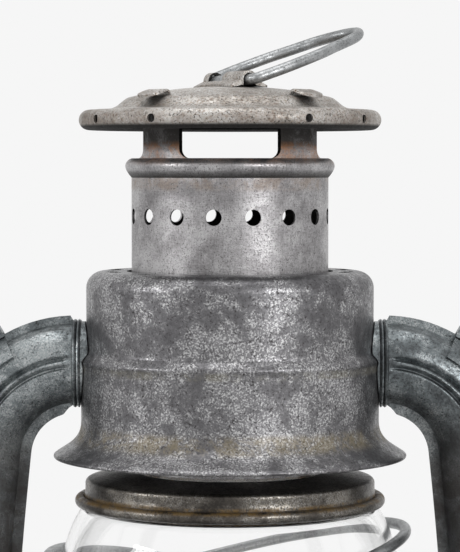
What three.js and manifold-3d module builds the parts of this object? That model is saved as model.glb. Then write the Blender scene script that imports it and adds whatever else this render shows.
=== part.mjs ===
// Tubular hurricane lantern, in millimetres, +Z up, standing on z = 0 with its axis on x = y = 0.
// +X is the side of the lift lever, and -Y is the front.

import * as THREE from 'three';
import { mergeVertices } from 'three/addons/utils/BufferGeometryUtils.js';
import Module from 'manifold-3d';

const wasm = await Module();
wasm.setup();

// Sheet gauges, wires and gaps
const SHEET = 0.6;
const HEAVY_SHEET = 1.2;
const SEAT_GAP = 0.3;
const SEAM_GAP = 0.2;
const SLIDE_GAP = 0.4;
const ROUND_LARGE = 20;
const ROUND_FINE = 20;
const ROUND_SMALL = 12;
const WIRE_SIDES = 6;

// Fount: the oil reservoir that the lantern stands on
const FOUNT_RADIUS = 54;
const FOUNT_HEIGHT = 30;
const FOUNT_SHOULDER = 7;
const FOUNT_SEAM_HEIGHT = 3;
const FOUNT_BEAD_DROP = 4;
const FOUNT_BEAD_PROUD = 0.9;
const BASE_GROOVE_RADIUS = 40;
const BASE_GROOVE_WIDTH = 4;
const BASE_GROOVE_DEPTH = 1;

// Air dome: the lower plenum, which carries air from the side tubes to the burner
const DOME_INSET = 0.5;
const DOME_RISE = 16;
const DOME_NECK_RADIUS = 19;
const DOME_NECK_HEIGHT = 3;
const DOME_HEM = 0.9;

// Filler, leaning out square to the dome
const FILLER_AZIMUTH = 225;
const FILLER_FOOT_INSET = 8.5;
const FILLER_BORE_RADIUS = 6.5;
const FILLER_NECK_RISE = 8;
const FILLER_FLANGE = 1.6;
const CAP_RADIUS = 10;
const CAP_HEIGHT = 8.5;

// Burner
const BURNER_COLLAR_RADIUS = 13.5;
const BURNER_COLLAR_BORE = 11.5;
const COLLAR_FLANGE = 2.5;
const BURNER_DECK_THICK = 1;
const WICK_WIDTH = 13;
const WICK_THICK = 2;
const WICK_TUBE_WALL = 0.6;
const WICK_GAP = 0.35;
const WICK_TUBE_ABOVE_DECK = 15;
const WICK_TUBE_BELOW_DECK = 6;
const WICK_PROUD = 2;
const WICK_TAIL = 38;
const CONE_RISE = 15;
const CONE_FOOT_RADIUS = 21;
const CONE_FLANGE = 2.5;
const CONE_SLOT_LENGTH = 17;
const CONE_SLOT_WIDTH = 5;
const KNOB_AZIMUTH = -45;
const KNOB_REACH = 50;
const KNOB_RADIUS = 7;
const KNOB_THICK = 2.2;
const KNOB_SHAFT_RADIUS = 1.2;
const SPUR_RADIUS = 3.2;
const SPUR_TEETH = 8;
const SHAFT_GAP = 0.3;
const SHAFT_OVER_DECK = 3.6;
const SHAFT_BEARING = 11;
const SHAFT_TAIL = 9;
const SPUR_SPACING = 6;
const SPUR_THICK = 1.4;
const TOOTH_DEPTH = 0.8;
const KNOB_GRIPS = 16;

// Globe plate, which carries the globe and is raised by the lever
const PLATE_BOTTOM = 58.7;
const PLATE_RIM_HEIGHT = 4;
const PLATE_SEAT_WIDTH = 3;
const PLATE_VENTS = 12;
const PLATE_VENT_RADIUS = 1.5;
const PLATE_VENT_CIRCLE = 25.6;

// Globe
const GLASS = 2;
const GLOBE_HEIGHT = 106;
const GLOBE_FOOT_RADIUS = 31;
const GLOBE_BELLY_RADIUS = 42.5;
const GLOBE_NECK_RADIUS = 33.2;
const GLOBE_LIP = 4.5;
const GLOBE_BELLY_LEVEL = 56;
const GLOBE_FOOT_SWELL = [3.6, 8];
const GLOBE_LOWER_WALL = [1.6, 24];
const GLOBE_UPPER_WALL = [0.9, 27];
const GLOBE_SHOULDER = [6.3, 10.1];
const GLOBE_NECK_CURVE = [3, 2.6];

// Top plate, the cap over the globe's neck at the foot of the chimney
const CAP_PLATE_RADIUS = 34.8;
const CAP_PLATE_WALL = 6.8;
const CAP_BEAD_RADIUS = 1.4;
const CAP_BEAD_PROUD = 2.5;
const CAP_PLATE_CROWN = 1.8;

// Chimney, with its ring of round vents, roll bead and four uprights
const CHIMNEY_RADIUS = 23.6;
const CHIMNEY_HEIGHT = 74.5;
const VENT_COUNT = 16;
const VENT_RADIUS = 1.9;
const VENT_DROP = 13.8;
const VENT_START = 13.2;
const CHIMNEY_BEAD_PROUD = 1.5;
const CHIMNEY_BEAD_HEIGHT = 4.6;
const UPRIGHT_COUNT = 4;
const UPRIGHT_ANGLE = 30;
const UPRIGHT_RISE = 13.9;
const UPRIGHT_FILLET = 2.2;
const TAB_WIDTH = 6.4;
const TAB_LENGTH = 6;
const TAB_LIFT = 8;

// Air chamber round the chimney, where the side tubes begin
const CHAMBER_ROOM = 12.2;
const CHAMBER_LOWER_RADIUS = CHIMNEY_RADIUS + CHAMBER_ROOM;
const CHAMBER_STEP = 1.3;
const CHAMBER_UPPER_RADIUS = CHAMBER_LOWER_RADIUS - CHAMBER_STEP;
const FLARE_ABOVE_CAP = 4.9;
const CHAMBER_DRUM_HEIGHT = 36.1;
const CHAMBER_RIDGE_LEVEL = 14;
const CHAMBER_RIDGE_HEIGHT = 2.4;
const CHAMBER_RIDGE_PROUD = 0.5;
const CHAMBER_SHOULDER = 4;
const FLARE_REACH = 6.6;
const FLARE_HEIGHT = 8.6;
const FLARE_STEPS = 2;
const CHAMBER_SLOTS = 12;
const SLOT_LENGTH = 8;
const SLOT_WIDTH = 2.4;
const SLOT_PLACE = 2 / 3;
const CHAMBER_MOUTH_GAP = 1.2;
const CHAMBER_FLOOR_RISE = 3;
const CHAMBER_FLOOR_LIP = 4;
const LINER_SHORT = 2;
const TUBE_MOUTH_RISE = 13.9;

// Side tubes, each of two pressed halves that meet in flanged seams
const TUBE_HALF_WIDTH = 9.55;
const TUBE_HALF_DEPTH = 8.2;
const TUBE_BEND_RADIUS = 22.6;
const TUBE_BEND_TURN = 84;
const TUBE_BEND_OUTSET = 1.6;
const TUBE_BEND_START = CHAMBER_LOWER_RADIUS + TUBE_BEND_OUTSET;
const TUBE_BEND_STEPS = 6;
const TUBE_LEG_STEPS = 9;
const TUBE_END_GAP = 0.5;
const INNER_FLANGE = 2.5;
const OUTER_FLANGE = 1.9;
const RIB_HALF_WIDTH = 1.4;
const RIB_DEPTH = 0.8;
const TUBE_FOOT_INSET = 10.5;
const TUBE_UPPER_PULL = 78;
const TUBE_LOWER_PULL = 58;
const TUBE_COLLAR_PROUD = 0.9;
const TUBE_COLLAR_REACH = 1.4;
const FLANGE_TRIM = 1.2;

// Hood
const HOOD_RADIUS = 36.2;
const HOOD_CROWN_RADIUS = 12;
const HOOD_DOME_RADIUS = 28.8;
const HOOD_DOME_DROP = 4.7;
const HOOD_BRIM_DROP = 0.8;
const HOOD_RIM_HEIGHT = 4.8;
const HOOD_CURL = 1.2;
const HOOD_HOLE_PAIR = 15;
const HOOD_HOLE_RADIUS = 1;
const HOOD_SLIT_GAP = 0.4;

// Ring on the hood and the strap that holds it
const RING_WIRE_RADIUS = 1.3;
const RING_LENGTH = 36.5;
const RING_WIDTH = 27;
const RING_PIVOT_WIDTH = 24;
const RING_TURN = 28;
const RING_RISE = 19.5;
const RING_CORNER = [1.4, 0.4];
const RING_NARROWING = [[0.25, 0], [0.5, 0.7], [0.65, 2.5], [0.85, 4.8], [0.97, 9.5]];
const STRAP_SHEET = 0.5;
const STRAP_GAP = 0.3;
const STRAP_LENGTH = 19.6;
const STRAP_WINDOW = 7;
const STRAP_NEAR_LOBE = 10;
const STRAP_FOOT = 3.2;

// Globe guard wires
const GUARD_WIRE_RADIUS = 1.35;
const GUARD_HIGH_REACH = 42.3;
const GUARD_HALF_DEPTH = 46.6;
const GUARD_SLOPE = 15;
const SECOND_GUARD_REACH = 43.9;
const GUARD_CROSSING = 5.6;
const GUARD_HIGH_LEVEL = 153.9;
const GUARD_STAGGER = 6.5;

// Bail
const BAIL_WIRE_RADIUS = 1.6;
const BAIL_OUTSET = 14.9;
const BAIL_LENGTH = 150;
const BAIL_LEAN = 22;
const BAIL_HOOK_INSIDE = 1.5;
const BAIL_SHOULDER = 5;
const BAIL_LEG = 70;
const BAIL_CROWN_ARC = 78;
const EAR_OUTSET = 28.8;
const EAR_FROM_AXIS = CHAMBER_LOWER_RADIUS + EAR_OUTSET;
const EAR_RADIUS = 4;
const EAR_HOLE_RISE = 5.8;
const EAR_SADDLE_WIDTH = 10.3;
const SADDLE_START = 120;
const SADDLE_UNDERCUT = 20;

// Lift lever
const LEVER_PIVOT_DROP = 3.3;
const LEVER_INNER_ARM = 27;
const LEVER_OUTER_ARM = 27;
const LEVER_WIDTH = 4;
const LEVER_PIN_RADIUS = 1.3;
const LEVER_TAB = 8;

// Levels that follow from the sizes above
const degrees = Math.PI / 180;
const domeRadius = FOUNT_RADIUS - FOUNT_SHOULDER - DOME_INSET;
const tubeFootRadius = domeRadius - TUBE_FOOT_INSET;
const fillerFootRadius = domeRadius - FILLER_FOOT_INSET;
const bailHalfSpan = EAR_FROM_AXIS + BAIL_OUTSET;
const domeFoot = FOUNT_HEIGHT + SEAT_GAP;
const domeTop = domeFoot + DOME_RISE;
const domeNeckTop = domeTop + DOME_NECK_HEIGHT;
const domeSlope = Math.atan2(DOME_RISE - DOME_HEM, domeRadius - DOME_NECK_RADIUS) / degrees;
const domeHeight = (radius) => domeFoot + DOME_HEM + (domeRadius - radius) * Math.tan(domeSlope * degrees);
const deckBottom = domeNeckTop + SEAT_GAP;
const deckTop = deckBottom + BURNER_DECK_THICK;
const shaftLevel = deckTop + SHAFT_OVER_DECK;
const plateTop = PLATE_BOTTOM + SHEET;
const globeFoot = plateTop + SEAT_GAP;
const globeTop = globeFoot + GLOBE_HEIGHT;
const capPlateTop = globeTop + SEAT_GAP + SHEET;
const chimneyFoot = capPlateTop + CAP_PLATE_CROWN + SEAT_GAP;
const chimneyRim = chimneyFoot + CHIMNEY_HEIGHT;
const uprightTop = chimneyRim + UPRIGHT_RISE;
const hoodDrop = (radius) => HOOD_DOME_DROP * (Math.max(radius - HOOD_CROWN_RADIUS, 0)
  / (HOOD_DOME_RADIUS - HOOD_CROWN_RADIUS)) ** 2;
const hoodTop = uprightTop + SEAT_GAP + SHEET + hoodDrop(CHIMNEY_RADIUS);
const flareEdge = capPlateTop + FLARE_ABOVE_CAP;
const drumFoot = flareEdge + FLARE_HEIGHT;
const drumTop = drumFoot + CHAMBER_DRUM_HEIGHT;
const tubeMouthLevel = drumFoot + TUBE_MOUTH_RISE;
const floorLevel = drumFoot + CHAMBER_FLOOR_RISE;

// A closed geometry as a solid that can be cut and joined
function solid(geometry) {
  const bare = geometry.clone();
  bare.deleteAttribute('normal');
  bare.deleteAttribute('uv');
  const merged = mergeVertices(bare, 1e-4);
  const point = merged.attributes.position;
  const corners = [];
  for (let i = 0; i < merged.index.count; i += 3) {
    const [a, b, c] = [0, 1, 2].map((k) => merged.index.getX(i + k));
    if (a !== b && b !== c && c !== a) corners.push([a, b, c]);
  }
  const corner = (i) => new THREE.Vector3().fromBufferAttribute(point, i);
  const volume = corners.reduce((sum, [a, b, c]) => sum + corner(a).dot(corner(b).cross(corner(c))), 0);
  const facing = volume < 0 ? corners.map(([a, b, c]) => [a, c, b]) : corners;
  return new wasm.Manifold(new wasm.Mesh({
    numProp: 3,
    vertProperties: new Float32Array(point.array),
    triVerts: new Uint32Array(facing.flat()),
  }));
}

function geometryOf(body) {
  const mesh = body.getMesh();
  const geometry = new THREE.BufferGeometry();
  geometry.setAttribute('position', new THREE.BufferAttribute(mesh.vertProperties, 3));
  geometry.setIndex(new THREE.BufferAttribute(mesh.triVerts, 1));
  geometry.computeVertexNormals();
  return geometry;
}

// Revolves an outline of [radius, height] points about the Z axis
function revolve(outline, segments = ROUND_LARGE) {
  const points = [...outline, outline[0]].map(([r, z]) => new THREE.Vector2(r, z));
  return new THREE.LatheGeometry(points, segments).rotateX(90 * degrees);
}

// Gives an open line of [x, y] points a thickness on its left-hand side, as a closed outline
function thicken(line, gauge = SHEET) {
  const inner = line.map(([x, y], i) => {
    const [ax, ay] = line[Math.max(i - 1, 0)];
    const [bx, by] = line[Math.min(i + 1, line.length - 1)];
    const before = new THREE.Vector2(x - ax, y - ay).normalize();
    const after = new THREE.Vector2(bx - x, by - y).normalize();
    const along = before.clone().add(after).normalize();
    const bend = before.lengthSq() && after.lengthSq() ? before.dot(along) : 1;
    const offset = gauge / Math.max(bend, 0.5);
    return [x - along.y * offset, y + along.x * offset];
  });
  return [...line, ...inner.reverse()];
}

function arc(cx, cy, radius, from, to, steps) {
  return Array.from({ length: steps + 1 }, (_, i) => {
    const angle = (from + (to - from) * i / steps) * degrees;
    return [cx + radius * Math.cos(angle), cy + radius * Math.sin(angle)];
  });
}

function shapeOf(points) {
  return new THREE.Shape(points.map(([x, y]) => new THREE.Vector2(x, y)));
}

function extrude(points, depth) {
  return new THREE.ExtrudeGeometry(shapeOf(points), { depth, bevelEnabled: false });
}

function sweep(points, path, steps) {
  return new THREE.ExtrudeGeometry(shapeOf(points), { steps, extrudePath: path, bevelEnabled: false });
}

function wire(path, radius, steps) {
  const section = arc(0, 0, radius, 0, 360 - 360 / WIRE_SIDES, WIRE_SIDES - 1);
  return sweep(section, path, steps);
}

// A closed wire ring through the points, which lie in one plane
function closedLoop(points, radius, steps) {
  const sides = WIRE_SIDES;
  const path = new THREE.CatmullRomCurve3(points, true, 'centripetal');
  const rings = Array.from({ length: steps }, (_, i) => path.getPointAt(i / steps));
  const normal = planeNormal(rings);
  const vertices = [];
  const faces = [];
  rings.forEach((centre, i) => {
    const ahead = rings[(i + 1) % steps];
    const behind = rings[(i + steps - 1) % steps];
    const along = ahead.clone().sub(behind).normalize();
    const side = new THREE.Vector3().crossVectors(along, normal).normalize();
    const up = new THREE.Vector3().crossVectors(side, along);
    for (let k = 0; k < sides; k += 1) {
      const angle = 360 * k / sides * degrees;
      const rim = centre.clone()
        .addScaledVector(side, radius * Math.cos(angle))
        .addScaledVector(up, radius * Math.sin(angle));
      vertices.push(rim.x, rim.y, rim.z);
      const [a, b] = [i * sides + k, i * sides + (k + 1) % sides];
      const [c, d] = [(i + 1) % steps * sides + k, (i + 1) % steps * sides + (k + 1) % sides];
      faces.push(a, b, d, a, d, c);
    }
  });
  const geometry = new THREE.BufferGeometry();
  geometry.setAttribute('position', new THREE.Float32BufferAttribute(vertices, 3));
  geometry.setIndex(faces);
  return geometry;
}

function planeNormal(points) {
  const middle = points.reduce((sum, p) => sum.add(p), new THREE.Vector3()).divideScalar(points.length);
  const normal = new THREE.Vector3();
  points.forEach((p, i) => {
    const next = points[(i + 1) % points.length];
    normal.add(p.clone().sub(middle).cross(next.clone().sub(middle)));
  });
  return normal.normalize();
}

function cylinder(radius, from, to, segments = ROUND_SMALL) {
  const along = to.clone().sub(from);
  const geometry = new THREE.CylinderGeometry(radius, radius, along.length(), segments);
  geometry.translate(0, along.length() / 2, 0);
  const turn = new THREE.Quaternion().setFromUnitVectors(new THREE.Vector3(0, 1, 0), along.normalize());
  return geometry.applyQuaternion(turn).translate(from.x, from.y, from.z);
}

function box(low, high) {
  const size = high.map((h, i) => h - low[i]);
  const middle = high.map((h, i) => (h + low[i]) / 2);
  return new THREE.BoxGeometry(...size).translate(...middle);
}

const at = (x, y, z) => new THREE.Vector3(x, y, z);
const around = (radius, azimuth, z) => at(
  radius * Math.cos(azimuth * degrees), radius * Math.sin(azimuth * degrees), z);

function repeat(count, make) {
  return Array.from({ length: count }, (_, i) => make(i));
}

function join(bodies) {
  return bodies.reduce((whole, body) => whole.add(body));
}

function cut(body, tools) {
  return tools.reduce((left, tool) => left.subtract(tool), body);
}

// Finishes
const finishes = {
  agedSteel: { color: 0x8b8d8c, roughness: 0.48, metalness: 0.85 },
  chimneySteel: { color: 0x8f8b8c, roughness: 0.42, metalness: 0.85 },
  tubeSteel: { color: 0x70767a, roughness: 0.46, metalness: 0.85 },
  rustySteel: { color: 0x5d5148, roughness: 0.62, metalness: 0.6 },
  wireSteel: { color: 0x8d9094, roughness: 0.4, metalness: 0.9 },
  brass: { color: 0xa48a4e, roughness: 0.4, metalness: 0.9 },
  glass: { color: 0xe8f0ee, roughness: 0.05, metalness: 0 },
  cotton: { color: 0xd8d0bb, roughness: 0.95, metalness: 0 },
};

function piece(name, finish, body, group) {
  const mesh = new THREE.Mesh(geometryOf(body), new THREE.MeshStandardMaterial(finishes[finish]));
  mesh.name = name;
  group.add(mesh);
  return mesh;
}

const lantern = new THREE.Group();
const frame = new THREE.Group();
const globeCarrier = new THREE.Group();
const crown = new THREE.Group();
lantern.add(frame, globeCarrier, crown);

// Places a shape drawn square to the dome's slope: local Z leaves the dome, local X runs up it
function onDome(geometry, radius, azimuth) {
  return geometry
    .rotateY(domeSlope * degrees)
    .translate(radius, 0, domeHeight(radius))
    .rotateZ(azimuth * degrees);
}

// A route in the plane y = 0: a section swept along it has its X towards the inside of the
// bend and its Y towards the back, and is set out at the route's own points
class PlanarRoute extends THREE.CatmullRomCurve3 {
  constructor(points) {
    super(points, false, 'centripetal');
  }

  getSpacedPoints(steps) {
    return this.getPoints(steps);
  }

  computeFrenetFrames(steps) {
    const tangents = repeat(steps + 1, (i) => this.getTangent(i / steps));
    const binormals = tangents.map(() => at(0, 1, 0));
    const normals = tangents.map((along, i) => binormals[i].clone().cross(along));
    return { tangents, normals, binormals };
  }
}

// Side tube route
const tubeFootLevel = domeHeight(tubeFootRadius);
const tubeStart = CHAMBER_LOWER_RADIUS + TUBE_END_GAP;

function makeTubeRoute() {
  const bendCentre = tubeMouthLevel - TUBE_BEND_RADIUS;
  const bend = arc(TUBE_BEND_START, bendCentre, TUBE_BEND_RADIUS, 90, 90 - TUBE_BEND_TURN, TUBE_BEND_STEPS);
  const [bendX, bendZ] = bend[bend.length - 1];
  const down = (angle) => [Math.cos(angle * degrees), -Math.sin(angle * degrees)];
  const [leaveX, leaveZ] = down(TUBE_BEND_TURN);
  const [footX, footZ] = [Math.sin(domeSlope * degrees), Math.cos(domeSlope * degrees)];
  const endX = tubeFootRadius + footX * SEAT_GAP;
  const endZ = tubeFootLevel + footZ * SEAT_GAP;
  const leg = new THREE.CubicBezierCurve3(
    at(bendX, 0, bendZ),
    at(bendX + leaveX * TUBE_UPPER_PULL, 0, bendZ + leaveZ * TUBE_UPPER_PULL),
    at(endX + footX * TUBE_LOWER_PULL, 0, endZ + footZ * TUBE_LOWER_PULL),
    at(endX, 0, endZ),
  );
  const points = [
    at(tubeStart, 0, tubeMouthLevel),
    ...bend.map(([x, z]) => at(x, 0, z)),
    ...leg.getSpacedPoints(TUBE_LEG_STEPS).slice(1),
  ];
  return new PlanarRoute(points);
}

const tubeRoute = makeTubeRoute();
const TUBE_STATIONS = tubeRoute.points.length - 1;

// Where the route, moved sideways by an inward offset, crosses a level below the bend
function tubeCrossing(level, inward) {
  const samples = repeat(201, (i) => {
    const t = 0.2 + 0.8 * i / 200;
    const along = tubeRoute.getTangentAt(t);
    const point = tubeRoute.getPointAt(t);
    return at(point.x + along.z * inward, 0, point.z - along.x * inward);
  });
  return samples.reduce((best, p) => (Math.abs(p.z - level) < Math.abs(best.z - level) ? p : best));
}

// Fount
function fountBottom() {
  const rim = FOUNT_RADIUS + SEAT_GAP + SHEET;
  return solid(revolve(thicken([
    [0, 0],
    [BASE_GROOVE_RADIUS - BASE_GROOVE_WIDTH, 0],
    [BASE_GROOVE_RADIUS - BASE_GROOVE_WIDTH / 2, BASE_GROOVE_DEPTH],
    [BASE_GROOVE_RADIUS, 0],
    [rim - SHEET, 0],
    [rim, SHEET],
    [rim, FOUNT_SEAM_HEIGHT],
  ])));
}

function fillerAxisHole(radius) {
  const hole = cylinder(radius, at(0, 0, -CAP_HEIGHT * 2), at(0, 0, CAP_HEIGHT));
  return solid(onDome(hole, fillerFootRadius, FILLER_AZIMUTH));
}

function fountShell() {
  const bead = FOUNT_HEIGHT - FOUNT_SHOULDER - FOUNT_BEAD_DROP;
  const shell = solid(revolve(thicken([
    [FOUNT_RADIUS, SHEET + SEAT_GAP],
    [FOUNT_RADIUS, bead - FOUNT_BEAD_PROUD * 2],
    [FOUNT_RADIUS + FOUNT_BEAD_PROUD, bead],
    [FOUNT_RADIUS, bead + FOUNT_BEAD_PROUD * 2],
    ...arc(FOUNT_RADIUS - FOUNT_SHOULDER, FOUNT_HEIGHT - FOUNT_SHOULDER, FOUNT_SHOULDER, 0, 90, 2),
    [BURNER_COLLAR_BORE, FOUNT_HEIGHT],
  ])));
  return shell.subtract(fillerAxisHole(FILLER_BORE_RADIUS));
}

function airDome() {
  const dome = solid(revolve(thicken([
    [domeRadius, domeFoot],
    [domeRadius, domeFoot + DOME_HEM],
    [DOME_NECK_RADIUS, domeTop],
    [DOME_NECK_RADIUS, domeNeckTop],
  ])));
  const tubeHoles = [0, 180].map((azimuth) => {
    const hole = cylinder(TUBE_HALF_DEPTH - SHEET * 2, at(0, 0, -4), at(0, 0, 4));
    return solid(onDome(hole, tubeFootRadius, azimuth));
  });
  return cut(dome, [...tubeHoles, fillerAxisHole(FILLER_BORE_RADIUS + SHEET + SEAT_GAP)]);
}

function fillerNeck() {
  const outer = FILLER_BORE_RADIUS + SHEET;
  const tail = FILLER_NECK_RISE * 1.5;
  const neck = solid(onDome(revolve([
    [FILLER_BORE_RADIUS, -tail],
    [outer, -tail],
    [outer, SEAT_GAP],
    [outer + FILLER_FLANGE, SEAT_GAP],
    [outer + FILLER_FLANGE, SEAT_GAP + SHEET],
    [outer, SEAT_GAP + SHEET],
    [outer, FILLER_NECK_RISE],
    [FILLER_BORE_RADIUS, FILLER_NECK_RISE],
  ], ROUND_SMALL), fillerFootRadius, FILLER_AZIMUTH));
  const below = solid(box([-FOUNT_RADIUS, -FOUNT_RADIUS, 0], [FOUNT_RADIUS, FOUNT_RADIUS, domeFoot]));
  return neck.subtract(below);
}

function fillerCap() {
  const grip = FILLER_BORE_RADIUS + SHEET + SLIDE_GAP;
  const foot = SEAT_GAP * 2 + SHEET;
  const cap = solid(revolve([
    [0, FILLER_NECK_RISE + SEAT_GAP],
    [grip, FILLER_NECK_RISE + SEAT_GAP],
    [grip, foot],
    [CAP_RADIUS, foot],
    [CAP_RADIUS, CAP_HEIGHT - 1],
    [CAP_RADIUS - 1, CAP_HEIGHT],
    [CAP_RADIUS - 3, CAP_HEIGHT],
    [CAP_RADIUS - 4, FILLER_NECK_RISE + SEAT_GAP + SHEET],
    [0, FILLER_NECK_RISE + SEAT_GAP + SHEET],
  ], ROUND_SMALL));
  return cap;
}

// Burner, drawn with local X along the wick's width and turned to the knob's side
function burnerCollar() {
  return solid(revolve([
    [BURNER_COLLAR_BORE, domeFoot],
    [BURNER_COLLAR_RADIUS + COLLAR_FLANGE, domeFoot],
    [BURNER_COLLAR_RADIUS + COLLAR_FLANGE, domeFoot + HEAVY_SHEET],
    [BURNER_COLLAR_RADIUS, domeFoot + HEAVY_SHEET],
    [BURNER_COLLAR_RADIUS, domeNeckTop],
    [BURNER_COLLAR_BORE, domeNeckTop],
  ], ROUND_SMALL));
}

const wickTubeInside = [WICK_WIDTH / 2 + WICK_GAP, WICK_THICK / 2 + WICK_GAP];
const wickTubeOutside = wickTubeInside.map((half) => half + WICK_TUBE_WALL);
const shaftOffset = WICK_THICK / 2 + WICK_GAP + SPUR_RADIUS;

function burnerDeck() {
  const screw = BURNER_COLLAR_BORE - SEAT_GAP;
  const deck = solid(revolve([
    [0, deckBottom],
    [screw - HEAVY_SHEET, deckBottom],
    [screw - HEAVY_SHEET, deckBottom - WICK_TUBE_BELOW_DECK],
    [screw, deckBottom - WICK_TUBE_BELOW_DECK],
    [screw, deckBottom],
    [DOME_NECK_RADIUS + HEAVY_SHEET, deckBottom],
    [DOME_NECK_RADIUS + HEAVY_SHEET, deckTop],
    [0, deckTop],
  ], ROUND_SMALL));
  const bearings = [-1, 1].map((side) => {
    const x = side > 0 ? SHAFT_BEARING : -SHAFT_BEARING + HEAVY_SHEET;
    const low = [x - HEAVY_SHEET, -shaftOffset - SPUR_RADIUS, deckTop];
    const high = [x, -shaftOffset + SPUR_RADIUS, shaftLevel + SPUR_RADIUS];
    return solid(box(low, high));
  });
  const shaft = cylinder(KNOB_SHAFT_RADIUS + SHAFT_GAP,
    at(-SHAFT_BEARING * 2, -shaftOffset, shaftLevel), at(SHAFT_BEARING * 2, -shaftOffset, shaftLevel), 8);
  const [halfX, halfY] = wickTubeOutside.map((half) => half + SEAM_GAP / 2);
  const slot = box([-halfX, -halfY, deckBottom - 1], [halfX, halfY, deckTop + 1]);
  return cut(join([deck, ...bearings]), [solid(shaft), solid(slot)]);
}

function wickTube() {
  const low = deckBottom - WICK_TUBE_BELOW_DECK;
  const high = deckTop + WICK_TUBE_ABOVE_DECK;
  const [x, y] = wickTubeOutside;
  const [ix, iy] = wickTubeInside;
  const sleeve = solid(box([-x, -y, low], [x, y, high]))
    .subtract(solid(box([-ix, -iy, low - 1], [ix, iy, high + 1])));
  const windows = [-1, 1].map((side) => {
    const middle = side * SPUR_SPACING / 2;
    const half = SPUR_THICK / 2 + SEAT_GAP;
    return solid(box([middle - half, -y - 1, shaftLevel - SPUR_RADIUS],
      [middle + half, 0, shaftLevel + SPUR_RADIUS]));
  });
  return cut(sleeve, windows);
}

function wick() {
  const high = deckTop + WICK_TUBE_ABOVE_DECK + WICK_PROUD;
  return solid(box([-WICK_WIDTH / 2, -WICK_THICK / 2, deckTop - WICK_TAIL],
    [WICK_WIDTH / 2, WICK_THICK / 2, high]));
}

function starOutline(radius, teeth, depth) {
  return repeat(teeth * 2, (i) => {
    const r = i % 2 ? radius - depth : radius;
    const angle = (180 * i / teeth) * degrees;
    return [r * Math.cos(angle), r * Math.sin(angle)];
  });
}

// A disc or wheel across the shaft, from its near face outward along X
function onShaft(outline, thick, x) {
  return solid(extrude(outline, thick)
    .rotateY(90 * degrees)
    .translate(x, -shaftOffset, shaftLevel));
}

function wickShaft() {
  const rod = solid(cylinder(KNOB_SHAFT_RADIUS,
    at(-SHAFT_BEARING - SHAFT_TAIL / 4, -shaftOffset, shaftLevel),
    at(KNOB_REACH - SEAT_GAP, -shaftOffset, shaftLevel), 8));
  const spurs = [-1, 1].map((side) => onShaft(
    starOutline(SPUR_RADIUS, SPUR_TEETH, TOOTH_DEPTH), SPUR_THICK,
    side * SPUR_SPACING / 2 - SPUR_THICK / 2));
  return join([rod, ...spurs]);
}

function wickKnob() {
  const disc = onShaft(starOutline(KNOB_RADIUS, KNOB_GRIPS, TOOTH_DEPTH / 2), KNOB_THICK, KNOB_REACH);
  const boss = onShaft(arc(0, 0, KNOB_SHAFT_RADIUS * 2, 0, 330, 11), KNOB_THICK, KNOB_REACH + KNOB_THICK / 2);
  return disc.add(boss);
}

// Globe plate, burner cone and globe
const plateRimRadius = GLOBE_FOOT_RADIUS + SEAT_GAP + SHEET;

function globePlate() {
  const plate = solid(revolve(thicken([
    [CONE_FOOT_RADIUS - PLATE_SEAT_WIDTH, PLATE_BOTTOM],
    [plateRimRadius - SHEET, PLATE_BOTTOM],
    [plateRimRadius, PLATE_BOTTOM + SHEET],
    [plateRimRadius, PLATE_BOTTOM + PLATE_RIM_HEIGHT],
  ])));
  const vents = repeat(PLATE_VENTS, (i) => {
    const azimuth = 360 * i / PLATE_VENTS;
    return solid(cylinder(PLATE_VENT_RADIUS, around(PLATE_VENT_CIRCLE, azimuth, PLATE_BOTTOM - 1),
      around(PLATE_VENT_CIRCLE, azimuth, plateTop + 1), 6));
  });
  return cut(plate, vents);
}

function burnerCone() {
  const foot = plateTop + SEAT_GAP;
  const dome = arc(0, 0, 1, 0, 90, 4).map(([x, y]) => [(CONE_FOOT_RADIUS - CONE_FLANGE) * x, y]);
  const shell = solid(revolve(thicken([
    [CONE_FOOT_RADIUS, foot + SHEET],
    ...dome.map(([r, h]) => [r, foot + SHEET + CONE_RISE * h]),
  ]), ROUND_SMALL));
  const slot = box([-CONE_SLOT_LENGTH / 2, -CONE_SLOT_WIDTH / 2, foot + CONE_RISE / 2],
    [CONE_SLOT_LENGTH / 2, CONE_SLOT_WIDTH / 2, foot + CONE_RISE * 2]);
  return shell.subtract(solid(slot));
}

function globeOutline() {
  const top = globeTop;
  const foot = globeFoot;
  const curve = new THREE.SplineCurve([
    [GLOBE_FOOT_RADIUS, foot + GLOBE_LIP],
    [GLOBE_FOOT_RADIUS + GLOBE_FOOT_SWELL[0], foot + GLOBE_LIP + GLOBE_FOOT_SWELL[1]],
    [GLOBE_BELLY_RADIUS - GLOBE_LOWER_WALL[0], foot + GLOBE_BELLY_LEVEL - GLOBE_LOWER_WALL[1]],
    [GLOBE_BELLY_RADIUS, foot + GLOBE_BELLY_LEVEL],
    [GLOBE_BELLY_RADIUS - GLOBE_UPPER_WALL[0], top - GLOBE_UPPER_WALL[1]],
    [GLOBE_NECK_RADIUS + GLOBE_SHOULDER[0], top - GLOBE_LIP - GLOBE_SHOULDER[1]],
    [GLOBE_NECK_RADIUS + GLOBE_NECK_CURVE[0], top - GLOBE_LIP - GLOBE_NECK_CURVE[1]],
    [GLOBE_NECK_RADIUS, top - GLOBE_LIP],
  ].map(([x, y]) => new THREE.Vector2(x, y)));
  return [
    [GLOBE_FOOT_RADIUS, foot],
    ...curve.getPoints(8).map((p) => [p.x, p.y]),
    [GLOBE_NECK_RADIUS, top],
  ];
}

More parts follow.
